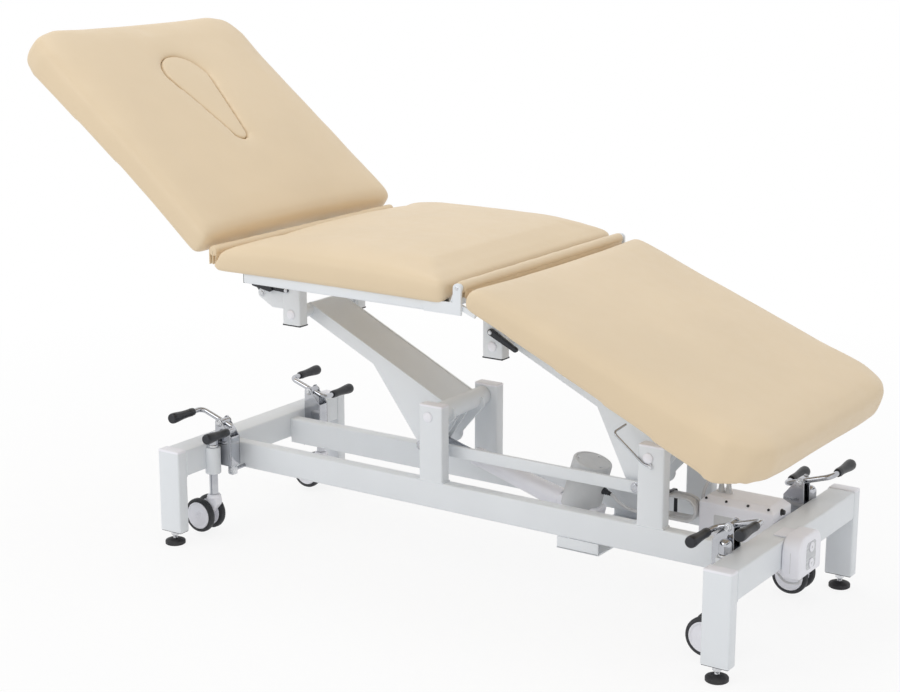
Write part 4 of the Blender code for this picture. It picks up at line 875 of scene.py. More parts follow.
def hank():
    """Points along long loops in the side view, each a pitch further across, ending on the way up."""
    points = []
    for step in range(HANK_LOOPS * LOOP_POINTS + LOOP_POINTS * 2 // 5):
        turn = step / LOOP_POINTS
        radius = HANK_RADIUS + HANK_SWAY * math.sin(2 * turn)
        walked = (turn % 1) * (4 * HANK_HALF + 2 * math.pi * radius)
        if walked < 2 * HANK_HALF:
            x, z = walked - HANK_HALF, -radius
        elif walked < 2 * HANK_HALF + math.pi * radius:
            swing = (walked - 2 * HANK_HALF) / radius - math.pi / 2
            x, z = HANK_HALF + radius * math.cos(swing), radius * math.sin(swing)
        elif walked < 4 * HANK_HALF + math.pi * radius:
            x, z = 3 * HANK_HALF + math.pi * radius - walked, radius
        else:
            swing = (walked - 4 * HANK_HALF) / radius - math.pi / 2
            x, z = -HANK_HALF + radius * math.cos(swing), radius * math.sin(swing)
        points.append(HANK_MIDDLE + Vector((x, HANK_PITCH * turn, z)))
    return points


def build_cables():
    """The motor's cable with its spare length in a tied hank, and the hand control's cable."""
    place = actuator_place()
    lead = [place @ Vector((x, 0, SOCKET_Z)) for x in (SOCKET_X, SOCKET_X - MOTOR_CABLE_OUT)]
    lead += [HANK_MIDDLE + Vector(step) for step in MOTOR_CABLE_LEAD]
    loops = hank()
    rise = [BOX_ENTRY + Vector(step) for step in MOTOR_CABLE_RISE]
    route = smooth_route(lead + loops[:2], 4 * CABLE_RADIUS)[:-2] + loops
    route += smooth_route(loops[-2:] + rise, 4 * CABLE_RADIUS)[2:]
    cable = curve_object(route, CABLE_RADIUS, 4)
    tie = put(hank_tie(), "hank_tie", "base", "black")
    put_cord(cable, "motor_cable_dressed", "motor_cable")

    route = [BOX_EXIT + Vector(step) for step in HANDSET_CABLE_FALL]
    route += [HANDSET_ENTRY + Vector(step) for step in HANDSET_CABLE_RISE]
    route = smooth_route(route, 2 * HANDSET_CABLE_RADIUS)
    cable = curve_object(route, HANDSET_CABLE_RADIUS, 4)
    put_cord(cable, "hand_control_cable_dressed", "hand_control_cable")


def put_cord(cable, name, node):
    """Name a cable, give it its sheath and put it on the base."""
    cable.name = name
    cable.data.name = name
    cable.data.materials.append(finish_named("cable"))
    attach(cable, "base")
    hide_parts(node)


def hank_tie():
    """A flat tie round the middle of the hank, with its lock."""
    low = HANK_MIDDLE + Vector((-0.004, -0.0062, -0.0296))
    high = HANK_MIDDLE + Vector((0.004, 0.0442, 0.0296))
    outline = rounded_box_outline((low.y, low.z), (high.y, high.z), 0.006)
    band = plate(outline, "X", low.x, high.x, 0.0005)
    inner = rounded_box_outline((low.y + 0.0014, low.z + 0.0014), (high.y - 0.0014, high.z - 0.0014), 0.005)
    hollow = plate(inner, "X", low.x - 0.002, high.x + 0.002, 0.0003)
    modify(band, "BOOLEAN", operation="DIFFERENCE", solver="EXACT", object=hollow)
    bpy.data.objects.remove(hollow)
    lock = slab((low.x - 0.0012, low.y - 0.0035, high.z - 0.014),
                (high.x + 0.0012, low.y + 0.0008, high.z - 0.006), 0.0007)
    return joined([band, lock])


def build_end_frames():
    """Legs with caps, cross beams, castor sleeves and pedal brackets at both ends."""
    x = BASE_X + LEG_X
    node = "{end}_end_frame"
    leg = tube_bar((x - TUBE_HALF, -0.310, 0.0325), (x + TUBE_HALF, -0.280, 0.2190), 2)
    put_corners(leg, "leg", "coat", node=node)
    cap = tube_cap((x - 0.0302, -0.3102, 0.2190), (x + 0.0302, -0.2798, 0.2238))
    put_corners(cap, "leg_cap", "plastic", node=node)
    insert = slab((x - 0.0285, -0.3085, 0.0300), (x + 0.0285, -0.2815, 0.0340), 0.0015)
    put_corners(insert, "leg_insert", "black", node=node)
    for end, sign in ENDS:
        middle = BASE_X + sign * LEG_X
        beam = tube_bar((middle - 0.0295, -0.2805, 0.1615), (middle + 0.0295, 0.2805, 0.2215), 1)
        put(beam, f"{end}_beam", "base", "coat", f"{end}_end_frame")
        for side, way in SIDES:
            y = way * 0.2803
            bead = weld([(middle - 0.0285, y, 0.1617), (middle + 0.0285, y, 0.1617),
                         (middle + 0.0293, y, 0.2195), (middle - 0.0293, y, 0.2195)])
            put(bead, f"leg_weld_{side}_{end}", "base", "coat")

    stem = Vector((BASE_X + STEM_X, -STEM_Y, 0))
    sleeve = turned([(0.0168, 0.1500), (0.0180, 0.1512), (0.0180, 0.2105), (0.0172, 0.2118), (0.0128, 0.2120),
                     (0.0122, 0.2108)], 36)
    put_corners(settle(sleeve, Matrix.Translation(stem)), "castor_sleeve", "coat", node=node)
    pivot = Vector((stem.x - PEDAL_SET_IN, -PEDAL_Y, PEDAL_Z))
    back = stem.x - 0.0375
    outline = [(back, 0.165), (stem.x + 0.0085, 0.165), (stem.x + 0.0085, 0.212)]
    outline += arc(flat(pivot), 0.012, 0, 90, 8) + [(back, 0.235)]
    y = -PEDAL_Y
    channel = [plate(outline, "Y", y - 0.0165, y - 0.0135), plate(outline, "Y", y + 0.0135, y + 0.0165),
               slab((back, y - 0.0160, 0.1655), (back + 0.003, y + 0.0160, 0.2345), 0.0008)]
    put_corners(joined(channel), "pedal_bracket", "chrome", node=node)
    foot = slab((back + 0.001, y - 0.008, 0.1430), (back + 0.017, y + 0.008, 0.1655), 0.0015)
    bolt = bolt_head((back + 0.009, y - 0.008, 0.153), (0, -1, 0), 0.005, 0.004)
    put_corners(joined([foot, bolt]), "linkage_block", "zinc", node=node)
    reach = Vector((back + 0.009, y + 0.004, 0.153))
    put_corners(pin(reach, reach + Vector((0, 0.050, 0)), 0.0042), "linkage_rod", "chrome", node=node)
    tip = pin(reach + Vector((0, 0.046, 0)), reach + Vector((0, 0.064, 0)), 0.0060, 0.0015)
    put_corners(tip, "linkage_tip", "black", node=node)


def build_side_frames():
    """Rails with their uprights, caps, pivot plugs and weld beads."""
    for side, way in SIDES:
        node = f"{side}_side_frame"
        low, high = way * RAIL_Y - RAIL_HALF, way * RAIL_Y + RAIL_HALF
        rail = tube_bar((BASE_X - 0.6517, low, 0.148), (BASE_X + 0.6517, high, 0.208), 0)
        put(rail, f"{side}_rail", "base", "coat", node)
        for (end, sign), pivot in zip(ENDS, LOW_PIVOTS):
            x = pivot.x + UPRIGHT_SHIFT
            upright = tube_bar((x - TUBE_HALF, low + 0.0005, 0.2070),
                               (x + TUBE_HALF, high - 0.0005, 0.3745), 2)
            put(upright, f"{side}_{end}_upright", "base", "coat", node)
            cap = tube_cap((x - 0.0302, low + 0.0003, 0.3745), (x + 0.0302, high - 0.0003, 0.3792))
            put(cap, f"{side}_{end}_upright_cap", "base", "plastic", node)
            bead = weld([(x - 0.0302, low + 0.002, 0.2084), (x + 0.0302, low + 0.002, 0.2084),
                         (x + 0.0302, high - 0.002, 0.2084), (x - 0.0302, high - 0.002, 0.2084)])
            put(bead, f"{side}_{end}_upright_weld", "base", "coat")
            face = Vector((pivot.x, way * PLUG_FACE, pivot.z))
            put(dome_plug(face, (0, way, 0), 0.0112, 0.0052), f"{side}_{end}_pivot_plug", "base", "plastic")
            x = BASE_X + sign * 0.6512
            bead = weld([(x, low + 0.001, 0.1625), (x, high - 0.001, 0.1625), (x, high + 0.0002, 0.2070),
                         (x, low - 0.0002, 0.2070)])
            put(bead, f"{side}_{end}_rail_weld", "base", "coat")


def build_feet():
    """Levelling feet: a rubber pad, a threaded stem and a lock nut."""
    place = Matrix.Translation((BASE_X + LEG_X, -LEG_Y, 0))
    pad = turned([(0.0212, 0), (0.0230, 0.0014), (0.0230, 0.0074), (0.0218, 0.0092), (0.0165, 0.0116),
                  (0.0112, 0.0136), (0.0086, 0.0142)], 36)
    body, node = "leveller_{short}", "levelling_foot_{label}"
    put_corners(settle(pad, place), "foot_pad", "rubber", body, node)
    thread = [(0.0047, 0.0138)]
    while thread[-1][1] < 0.0500:
        thread.append((0.0050, thread[-1][1] + 0.0006))
        thread.append((0.0045, thread[-1][1] + 0.0006))
    put_corners(settle(turned(thread, 18), place), "foot_stem", "zinc", body, node)
    nut = turned([(0.0084, 0.0208), (0.0094, 0.0214), (0.0094, 0.0288), (0.0084, 0.0295)], 6)
    put_corners(settle(nut, place), "foot_nut", "zinc", body, node)


def build_castors(scene):
    """Sliding stems, swivel forks and twin wheels."""
    stem = Vector((BASE_X + STEM_X, -STEM_Y, 0))
    dome = [(0.0130 * math.cos(math.radians(a)), 0.2348 + 0.0125 * math.sin(math.radians(a)))
            for a in (0, 15, 30, 45, 60, 75, 87)]
    profile = [(0.0092, 0.1003), (0.0100, 0.1012), (0.0100, 0.2184), (0.0126, 0.2188), (0.0130, 0.2194)]
    profile += dome
    post = settle(turned(profile, 32), Matrix.Translation(stem))
    put_corners(post, "castor_post", "chrome", "stem_{short}", "castor_stem_{label}", mirrored=False)
    collar = turned([(0.0128, 0.2124), (0.0138, 0.2130), (0.0138, 0.2168), (0.0128, 0.2178),
                     (0.0102, 0.2180)], 28)
    put_corners(settle(collar, Matrix.Translation(stem)), "castor_post_collar", "zinc", "stem_{short}",
                mirrored=False)

    axle = stem + Vector((-AXLE_TRAIL, 0, AXLE_Z))
    hood = plate(link_outline((stem.x, 0.0837), flat(axle), 0.016, 0.014, 16), "Y", stem.y - 0.010,
                 stem.y + 0.010, 0.0022)
    neck = turned([(0.0152, 0.0902), (0.0160, 0.0910), (0.0160, 0.0955), (0.0138, 0.0990),
                   (0.0112, 0.0997)], 32)
    fork = joined([hood, settle(neck, Matrix.Translation(stem))])
    put_corners(fork, "castor_hood", "plastic", "fork_{short}", "castor_fork_{label}", mirrored=False)

    hub = scene.couch_sizes.hub
    tyre = turned([(hub - 0.001, 0.0004), (0.0358, 0.0004), (0.0386, 0.0020), (0.0399, 0.0052),
                   (0.0400, 0.0085), (0.0399, 0.0118), (0.0386, 0.0150), (0.0358, 0.0166),
                   (hub + 0.0012, 0.0166), (hub + 0.0004, 0.0158), (hub + 0.0002, 0.0100)], 48)
    disc = turned([(hub - 0.001, 0.0002), (hub, 0.0012), (hub, 0.0160), (hub - 0.0012, 0.0171),
                   (hub - 0.0040, 0.0168), (hub - 0.0058, 0.0154), (0.0125, 0.0148), (0.0108, 0.0150),
                   (0.0102, 0.0164), (0.0088, 0.0170), (0.0035, 0.0171), (0.0030, 0.0162)], 48)
    for model, name, finish in ((tyre, "castor_tyres", "tyre"), (disc, "castor_hubs", "plastic")):
        pair = [twin(model, along_axis(axle + Vector((0, way * 0.0104, 0)), (0, way, 0))) for way in (-1, 1)]
        bpy.data.objects.remove(model)
        put_corners(joined(pair), name, finish, "wheels_{short}", "castor_wheels_{label}", mirrored=False)
    put_corners(cross_pin(axle, 0.0106, 0.006), "castor_axle", "zinc", "wheels_{short}",
                "castor_wheels_{label}", mirrored=False)


def build_pedals():
    """Bent chrome pedals on their pins, with black grips that are fat at the end."""
    pivot = Vector((BASE_X + STEM_X - PEDAL_SET_IN, -PEDAL_Y, PEDAL_Z))
    lean = tilt(pivot, -PEDAL_TILT)
    body, node = "pedal_{short}", "pedal_{label}"
    bend = 0.014
    route = []
    for x, order in ((PEDAL_OUTER, 1), (PEDAL_INNER, -1)):
        inward = -math.copysign(bend, x)
        turns = [math.pi / 2 * i / 8 for i in range(9)]
        leg = [pivot + Vector((x, -0.090, 0))]
        leg += [pivot + Vector((x + inward * (1 - math.cos(t)), -bend * (1 - math.sin(t)), 0)) for t in turns]
        route += leg if order > 0 else leg[::-1]
    put_corners(settle(wire(route, 0.006, 4), lean), "pedal_rod", "chrome", body, node)
    boss = [cross_pin(pivot, 0.0131, 0.009, 0.001), cross_pin(pivot, 0.0178, 0.004)]
    put_corners(settle(joined(boss), lean), "pedal_boss", "chrome", body, node)
    caps = [bolt_head(pivot + Vector((0, way * 0.0168, 0)), (0, way, 0), 0.0062, 0.0045) for way in (-1, 1)]
    put_corners(settle(joined(caps), lean), "pedal_bolts", "zinc", body)
    profile = [(0.0078, 0.030), (0.0088, 0.0312), (0.0090, 0.0350), (0.0096, 0.0380), (0.0092, 0.0440),
               (0.0092, 0.0560), (0.0098, 0.0680), (0.0109, 0.0800), (0.0119, 0.0900), (0.0122, 0.0960),
               (0.0120, 0.1010), (0.0110, 0.1040), (0.0096, 0.1050), (0.0060, 0.1048)]
    for x, word in ((PEDAL_OUTER, "outer"), (PEDAL_INNER, "inner")):
        grip = settle(turned(profile, 32), lean @ along_axis(pivot + Vector((x, 0, 0)), (0, -1, 0)))
        put_corners(grip, f"grip_{word}", "black", body, f"pedal_grip_{word}_{{label}}")


def build_lift_arms():
    """Box beams with gussets, cross tubes and levers, and the bar that ties the two arms."""
    turn = side_frame(ARM)
    along, up = turn.col[0].xyz, turn.col[2].xyz
    arms = zip(ENDS, LOW_PIVOTS, HIGH_PIVOTS, ARM_UNDER, GUSSET_BEND, GUSSET_START)
    for (end, _), low, high, under, bend, start in arms:
        body, node = f"{end}_arm", f"{end}_lift_arm"
        beam = tube_bar((0, -0.0592, -under), (ARM.length, 0.0592, 0.0149), 0)
        put(settle(beam, Matrix.Translation(low) @ turn), f"{end}_arm_beam", body, "coat", node)
        lever = low + LEVER
        lower = up * (under - 0.0009)
        outline = [flat(low + up * 0.016 - along * 0.021), flat(high + up * 0.016 + along * 0.006),
                   flat(high - lower + along * 0.006), flat(low.lerp(high, bend) - lower)]
        if end == "foot":
            outline.append(flat(lever + Vector((-0.034, 0, 0.014))))
        outline += arc(flat(lever), 0.022, start, 370, 14)
        outline.append(flat(low - along * 0.030))
        for side, way in SIDES:
            faces = sorted((way * 0.060, way * 0.054))
            put(plate(outline, "Y", *faces, 0.0012), f"{end}_arm_gusset_{side}", body, "coat", node)
        for word, place, radius in (("lower", low, 0.021), ("upper", high, 0.015)):
            tube = cross_pin(place, 0.0935, radius, 0.0012, 40)
            put(tube, f"{end}_arm_{word}_tube", body, "coat", node)
        shank = pin(lever + Vector((0, -0.0753, 0)), lever + Vector((0, -0.053, 0)), 0.006)
        head = bolt_head(lever + Vector((0, -0.0752, 0)), (0, -1, 0), 0.0088, 0.006)
        put(joined([shank, head]), f"{end}_arm_tie_bolt", body, "chrome", node)
        if end == "head":
            levers = link_outline(flat(low), flat(lever), 0.019, 0.016)
            pair = [plate(levers, "Y", *sorted((way * 0.0115, way * 0.0165))) for way in (-1, 1)]
            put(joined(pair), "head_arm_levers", body, "coat", node)
            hole = high + Vector((0, -0.0601, 0)) + along * -0.010
            put(dome_plug(hole, (0, -1, 0), 0.0042, 0.0012), "head_arm_hole_plug", body, "black")
    first, second = (low + LEVER for low in LOW_PIVOTS)
    bar = plate(link_outline(flat(first), flat(second), 0.013, 0.013), "Y", -0.075, -0.067, 0.0012)
    put(bar, "tie_bar_dressed", "tie", "coat", "tie_bar")


def build_actuator():
    """The lift actuator with its mount, gear case, motor, sleeve and push rod."""
    rear = MOTOR_PIVOT
    mount = [slab((rear.x - 0.050, -0.124, 0.122), (rear.x + 0.050, 0.124, 0.126), 0.001)]
    ear = link_outline((rear.x, 0.135), flat(rear), 0.013, 0.012)
    for way in (-1, 1):
        low, high = sorted((way * 0.124, way * 0.120))
        mount.append(slab((rear.x - 0.049, low, 0.123), (rear.x + 0.049, high, 0.1477), 0.001))
        mount.append(plate(ear, "Y", *sorted((way * 0.012, way * 0.017))))
    put(joined(mount), "actuator_bracket", "base", "coat", "actuator_mount")
    put(cross_pin(rear, 0.018, 0.006), "actuator_pin", "base", "zinc", "actuator_mount")

    place = actuator_place()
    length = (LOW_PIVOTS[0] + LEVER - rear).length
    case = block((0.020, -0.026, -0.026), (0.117, 0.026, 0.026))
    pick_faces(case, lambda face: face.normal.x > FACING)
    bpy.ops.transform.resize(value=(1, 0.94, 0.8), center_override=(0.117, 0, 0))
    close_edit()
    round_edges(case, 0.006, 4)
    put(settle(case, place), "actuator_gear_case", "actuator", "plastic", "actuator_body")
    motor = turned([(0.0405, 0.0065), (0.0425, 0.0085), (0.0425, 0.0960), (0.0415, 0.0965), (0.0415, 0.0985),
                    (0.0425, 0.0990), (0.0425, 0.1140), (0.0415, 0.1165), (0.0390, 0.1180), (0.0360, 0.1180),
                    (0.0352, 0.1172), (0.0100, 0.1172)], 56)
    put(settle(motor, place @ Matrix.Translation((0.070, 0, 0))), "actuator_motor", "actuator", "motor",
        "actuator_body")
    screws = [bolt_head((0.070 + 0.030 * math.cos(t), 0.030 * math.sin(t), 0.1171), (0, 0, 1), 0.0026, 0.0018)
              for t in (0.6, 2.7, 4.8)]
    put(settle(joined(screws), place), "actuator_motor_screws", "actuator", "zinc")
    ribs = [slab((0.030, sign * 0.0275 - 0.0018, -0.016), (0.106, sign * 0.0275 + 0.0018, -0.013), 0.0008)
            for sign in (-1, 1)]
    put(settle(joined(ribs), place), "actuator_case_ribs", "actuator", "plastic")
    sleeve = turned([(0.0235, 0.1150), (0.0245, 0.1165), (0.0240, 0.1300), (0.0218, 0.1750), (0.0205, 0.2400),
                     (0.0200, 0.3280), (0.0210, 0.3290), (0.0212, 0.3400), (0.0204, 0.3440), (0.0130, 0.3450),
                     (0.0110, 0.3440)], 44)
    put(settle(sleeve, place @ along_axis((0, 0, 0), (1, 0, 0))), "actuator_sleeve", "actuator", "plastic",
        "actuator_body")
    outlet = turned([(0.0085, 0.0), (0.0082, 0.004), (0.0062, 0.006), (0.0066, 0.009), (0.0050, 0.011),
                     (0.0054, 0.014), (0.0042, 0.016), (0.0042, 0.020), (0.0038, 0.0205)], 24)
    put(settle(outlet, place @ along_axis((0.0290, 0, SOCKET_Z), (-1, 0, 0))), "actuator_cable_outlet",
        "actuator", "black")
    eye = [cross_pin(Vector((0, 0, 0)), 0.0116, 0.011, 0.001), pin((0.006, 0, 0), (0.022, 0, 0), 0.009)]
    put(settle(joined(eye), place), "actuator_rear_eye", "actuator", "zinc", "actuator_body")
    push = [pin((0.150, 0, 0), (length - 0.011, 0, 0), 0.010, 0.001, 32),
            cross_pin(Vector((length, 0, 0)), 0.0095, 0.013, 0.0012, 32)]
    put(settle(joined(push), place), "actuator_push_rod", "push_rod", "chrome", "actuator_rod")


def build_seat_frame():
    """Side and inner rails, cross tubes, drop brackets with plugs, hinge ears and spring plates."""
    node = "seat_frame"
    for side, way in SIDES:
        y = way * 0.315
        rail = tube_bar((-0.2820, y - SLIM_HALF, FRAME_LOW), (0.2230, y + SLIM_HALF, FRAME_TOP), 0)
        put(rail, f"seat_rail_{side}", "top", "coat", node)
        for word, x, out in (("head", -0.2820, -1), ("foot", 0.2230, 1)):
            first, last = sorted((x, x + out * 0.0022))
            cap = slab((first, y - 0.0122, FRAME_LOW + 0.0003),
                       (last, y + 0.0122, FRAME_TOP - 0.0003), 0.0010)
            put(cap, f"seat_rail_cap_{side}_{word}", "top", "black")
        low, high = way * RAIL_Y - RAIL_HALF, way * RAIL_Y + RAIL_HALF
        inner = tube_bar((-0.3460, low, FRAME_LOW + 0.0005), (0.2370, high, FRAME_TOP - 0.0005), 0)
        put(inner, f"seat_inner_rail_{side}", "top", "coat", node)
        for (end, _), pivot in zip(ENDS, HIGH_PIVOTS):
            drop = tube_bar((pivot.x - 0.0245, low + 0.0005, pivot.z - 0.0240),
                            (pivot.x + 0.0245, high - 0.0005, 0.6540), 2)
            put(drop, f"drop_bracket_{side}_{end}", "top", "coat", node)
            cap = slab((pivot.x - 0.0248, low + 0.0003, pivot.z - 0.0272),
                       (pivot.x + 0.0248, high - 0.0003, pivot.z - 0.0238), 0.0010)
            put(cap, f"drop_bracket_cap_{side}_{end}", "top", "black")
            plug = dome_plug(Vector((pivot.x, way * PLUG_FACE, pivot.z)), (0, way, 0), 0.0105, 0.0048)
            put(plug, f"drop_bracket_plug_{side}_{end}", "top", "plastic")
        root = HIGH_PIVOTS[0].x
        back_ear = ([(root, 0.6432), (root, 0.6652), (BACK_HINGE.x + 0.012, 0.6652)]
                    + arc(flat(BACK_HINGE), 0.012, 0, 180, 14) + [(BACK_HINGE.x - 0.012, 0.6432)])
        faces = sorted((way * 0.123, way * 0.130))
        put(plate(back_ear, "Y", *faces), f"back_hinge_ear_{side}", "top", "coat", node)
        leg_ear = ([(0.1830, 0.6662), (0.1830, 0.6422), (LEG_HINGE.x + 0.0095, 0.6422)]
                   + arc(flat(LEG_HINGE), 0.0095, 0, 180, 14) + [(LEG_HINGE.x - 0.0095, 0.6662)])
        faces = sorted((way * 0.3258, way * 0.3318))
        put(plate(leg_ear, "Y", *faces), f"leg_hinge_ear_{side}", "top", "coat", node)
        back_pin = pin(BACK_HINGE + Vector((0, way * 0.1225, 0)), BACK_HINGE + Vector((0, way * 0.142, 0)),
                       0.005)
        put(back_pin, f"back_hinge_pin_{side}", "top", "zinc", node)
        head = dome_plug(LEG_HINGE + Vector((0, way * 0.3316, 0)), (0, way, 0), 0.0042, 0.0012)
        put(head, f"leg_hinge_pin_{side}", "top", "zinc", node)
    for word, x, reach in (("head", -0.2695, 0.303), ("foot", 0.2080, 0.303), ("spring", 0.1280, 0.095)):
        bar = tube_bar((x - SLIM_HALF, -reach, FRAME_LOW + 0.001),
                       (x + SLIM_HALF, reach, FRAME_TOP - 0.001), 1)
        put(bar, f"seat_cross_{word}", "top", "coat", node)
    eye = flat(BACK_SPRING)
    holder = [(HIGH_PIVOTS[0].x, 0.540), (HIGH_PIVOTS[0].x, 0.581)] + arc(eye, 0.012, 90, 225, 12)
    holder.append((eye[0] + 0.028, 0.540))
    put(plate(holder, "Y", -0.1215, -0.1155), "back_spring_plate", "top", "coat", node)
    bolt = bolt_head((eye[0], -0.1214, eye[1]), (0, -1, 0), 0.0062, 0.005)
    put(bolt, "back_spring_bolt", "top", "zinc")
    lug = link_outline(flat(LEG_SPRING), (LEG_SPRING.x, 0.6542), 0.010, 0.010)
    put(plate(lug, "Y", -0.0125, -0.0065), "leg_spring_lug", "top", "coat", node)
    bolt = bolt_head((LEG_SPRING.x, -0.0124, LEG_SPRING.z), (0, -1, 0), 0.0055, 0.0045)
    put(bolt, "leg_spring_bolt", "top", "zinc")


SECTIONS = (
    SimpleNamespace(name="back", hinge=BACK_HINGE, away=-1, angle=BACK_ANGLE, rail_y=0.1525, start=0.022,
                    crosses=(0.047, 0.250, 0.575), first_reach=0.1525, ear_y=0.1303,
                    ear=(0.010, 0.072, -0.0528), eye=0.300, lug=0.050, spring_y=-0.109),
    SimpleNamespace(name="leg", hinge=LEG_HINGE, away=1, angle=LEG_ANGLE, rail_y=0.240, start=0.0425,
                    crosses=(0.0425, 0.255, 0.575), first_reach=0.3205, ear_y=0.3195,
                    ear=(0.008, 0.055, -0.0398), eye=0.280, lug=0.025, spring_y=0.0),
)


def section_ear(hinge, away, faces, half, reach, low):
    """A section's hinge ear, from the pin down to its frame."""
    outline = [(-half, low), (reach, low), (reach, -0.0288), (half, -0.0288)]
    outline += arc((0, 0), half, 0, 180, 12)
    points = [(hinge.x + away * s, hinge.z + t) for s, t in outline]
    return plate(points if away > 0 else points[::-1], "Y", *sorted(faces))


def build_section_frames():
    """The tube frames under the back and leg sections; modelled level, then tilted."""
    for part in SECTIONS:
        name, hinge, away = part.name, part.hinge, part.away
        node = f"{name}_frame"
        place = tilt(hinge, part.angle)
        top = hinge.z - FRAME_DROP
        low = top - 2 * SLIM_HALF
        for side, way in SIDES:
            y = way * part.rail_y
            ends = sorted((hinge.x + away * part.start, hinge.x + away * FRAME_REACH))
            rail = tube_bar((ends[0], y - SLIM_HALF, low), (ends[1], y + SLIM_HALF, top), 0)
            put(settle(rail, place), f"{name}_rail_{side}", name, "coat", node)
            x = hinge.x + away * (FRAME_REACH + 0.001)
            cap = slab((x - 0.0015, y - 0.0122, low + 0.0003), (x + 0.0015, y + 0.0122, top - 0.0003), 0.001)
            put(settle(cap, place), f"{name}_rail_cap_{side}", name, "black")
            ear = section_ear(hinge, away, (way * part.ear_y, way * (part.ear_y + 0.006)), *part.ear)
            put(settle(ear, place), f"{name}_ear_{side}", name, "coat", node)
        for index, s in enumerate(part.crosses):
            x = hinge.x + away * s
            reach = part.first_reach if index == 0 else part.rail_y
            under = top - 0.012 if reach > 0.3 else low
            bar = tube_bar((x - SLIM_HALF, -reach, under + 0.001), (x + SLIM_HALF, reach, top - 0.001), 1)
            put(settle(bar, place), f"{name}_cross_{index + 1}", name, "coat", node)
        eye = (hinge.x + away * part.eye, hinge.z + SPRING_DROP)
        root = (hinge.x + away * (part.eye - part.lug), low + SLIM_HALF)
        y = part.spring_y
        lug = plate(link_outline(eye, root, 0.010, 0.010), "Y", y - 0.0125, y - 0.0065)
        put(settle(lug, place), f"{name}_lug", name, "coat", node)
        bolt = bolt_head((eye[0], y - 0.0124, eye[1]), (0, -1, 0), 0.0055, 0.0045)
        put(settle(bolt, place), f"{name}_lug_bolt", name, "zinc")


def build_gas_springs():
    """Two gas springs: a painted cylinder with a crimped end, and a chrome rod with an eye."""
    for part, fixed in zip(SECTIONS, (BACK_SPRING, LEG_SPRING)):
        name = part.name
        level = part.hinge + Vector((part.away * part.eye, fixed.y, SPRING_DROP))
        eye = tilt(part.hinge, part.angle) @ level
        along = (eye - fixed).normalized()
        half = (eye - fixed).length / 2
        barrel = turned([(0.0050, 0.009), (0.0050, 0.012), (0.0098, 0.0122), (0.0110, 0.0136),
                         (0.0110, half - 0.012), (0.0102, half - 0.010), (0.0102, half - 0.007),
                         (0.0110, half - 0.005), (0.0108, half - 0.001), (0.0085, half), (0.0060, half)], 36)
        end_eye = cross_pin(fixed, 0.006, 0.010, sides=28)
        put(joined([settle(barrel, along_axis(fixed, along)), end_eye]), f"{name}_spring_barrel",
            f"{name}_cylinder", "paint", f"{name}_spring_cylinder")
        rod = pin(fixed + along * (half - 0.055), eye - along * 0.008, 0.005, 0.0006, 28)
        far_eye = cross_pin(eye, 0.006, 0.010, sides=28)
        put(joined([rod, far_eye]), f"{name}_spring_piston", f"{name}_rod", "chrome", f"{name}_spring_rod")


def build_release_levers():
    """Black release levers on the near drop brackets."""
    face = -0.1238
    shaft = HIGH_PIVOTS[0] + Vector((-0.010, face, 0.054))
    knee = (shaft.x - 0.044, shaft.z)
    tip = (shaft.x - 0.090, shaft.z + 0.006)
    arm = plate(link_outline(flat(shaft), knee, 0.005, 0.003), "Y", face - 0.005, face, 0.0008)
    paddle = plate(link_outline(knee, tip, 0.007, 0.005), "Y", face - 0.010, face - 0.001, 0.0022)
    pivot = pin(shaft - Vector((0, 0.001, 0)), shaft + Vector((0, 0.016, 0)), 0.003)
    put(joined([arm, paddle, pivot]), "back_lever_dressed", "back_lever", "black", "back_release_lever")
    shaft = HIGH_PIVOTS[1] + Vector((0, face, 0.032))
    tip = (shaft.x + 0.060, shaft.z - 0.030)
    blade = plate(link_outline(flat(shaft), tip, 0.007, 0.005), "Y", face - 0.010, face, 0.0022)
    pivot = pin(shaft - Vector((0, 0.001, 0)), shaft + Vector((0, 0.016, 0)), 0.003)
    put(joined([blade, pivot]), "leg_lever_dressed", "leg_lever", "black", "leg_release_lever")
    for word, place in (("back", HIGH_PIVOTS[0] + Vector((-0.010, face - 0.0048, 0.054))),
                        ("leg", HIGH_PIVOTS[1] + Vector((0, face - 0.0098, 0.032)))):
        put(bolt_head(place, (0, -1, 0), 0.0036, 0.003), f"{word}_lever_bolt", f"{word}_lever", "zinc")


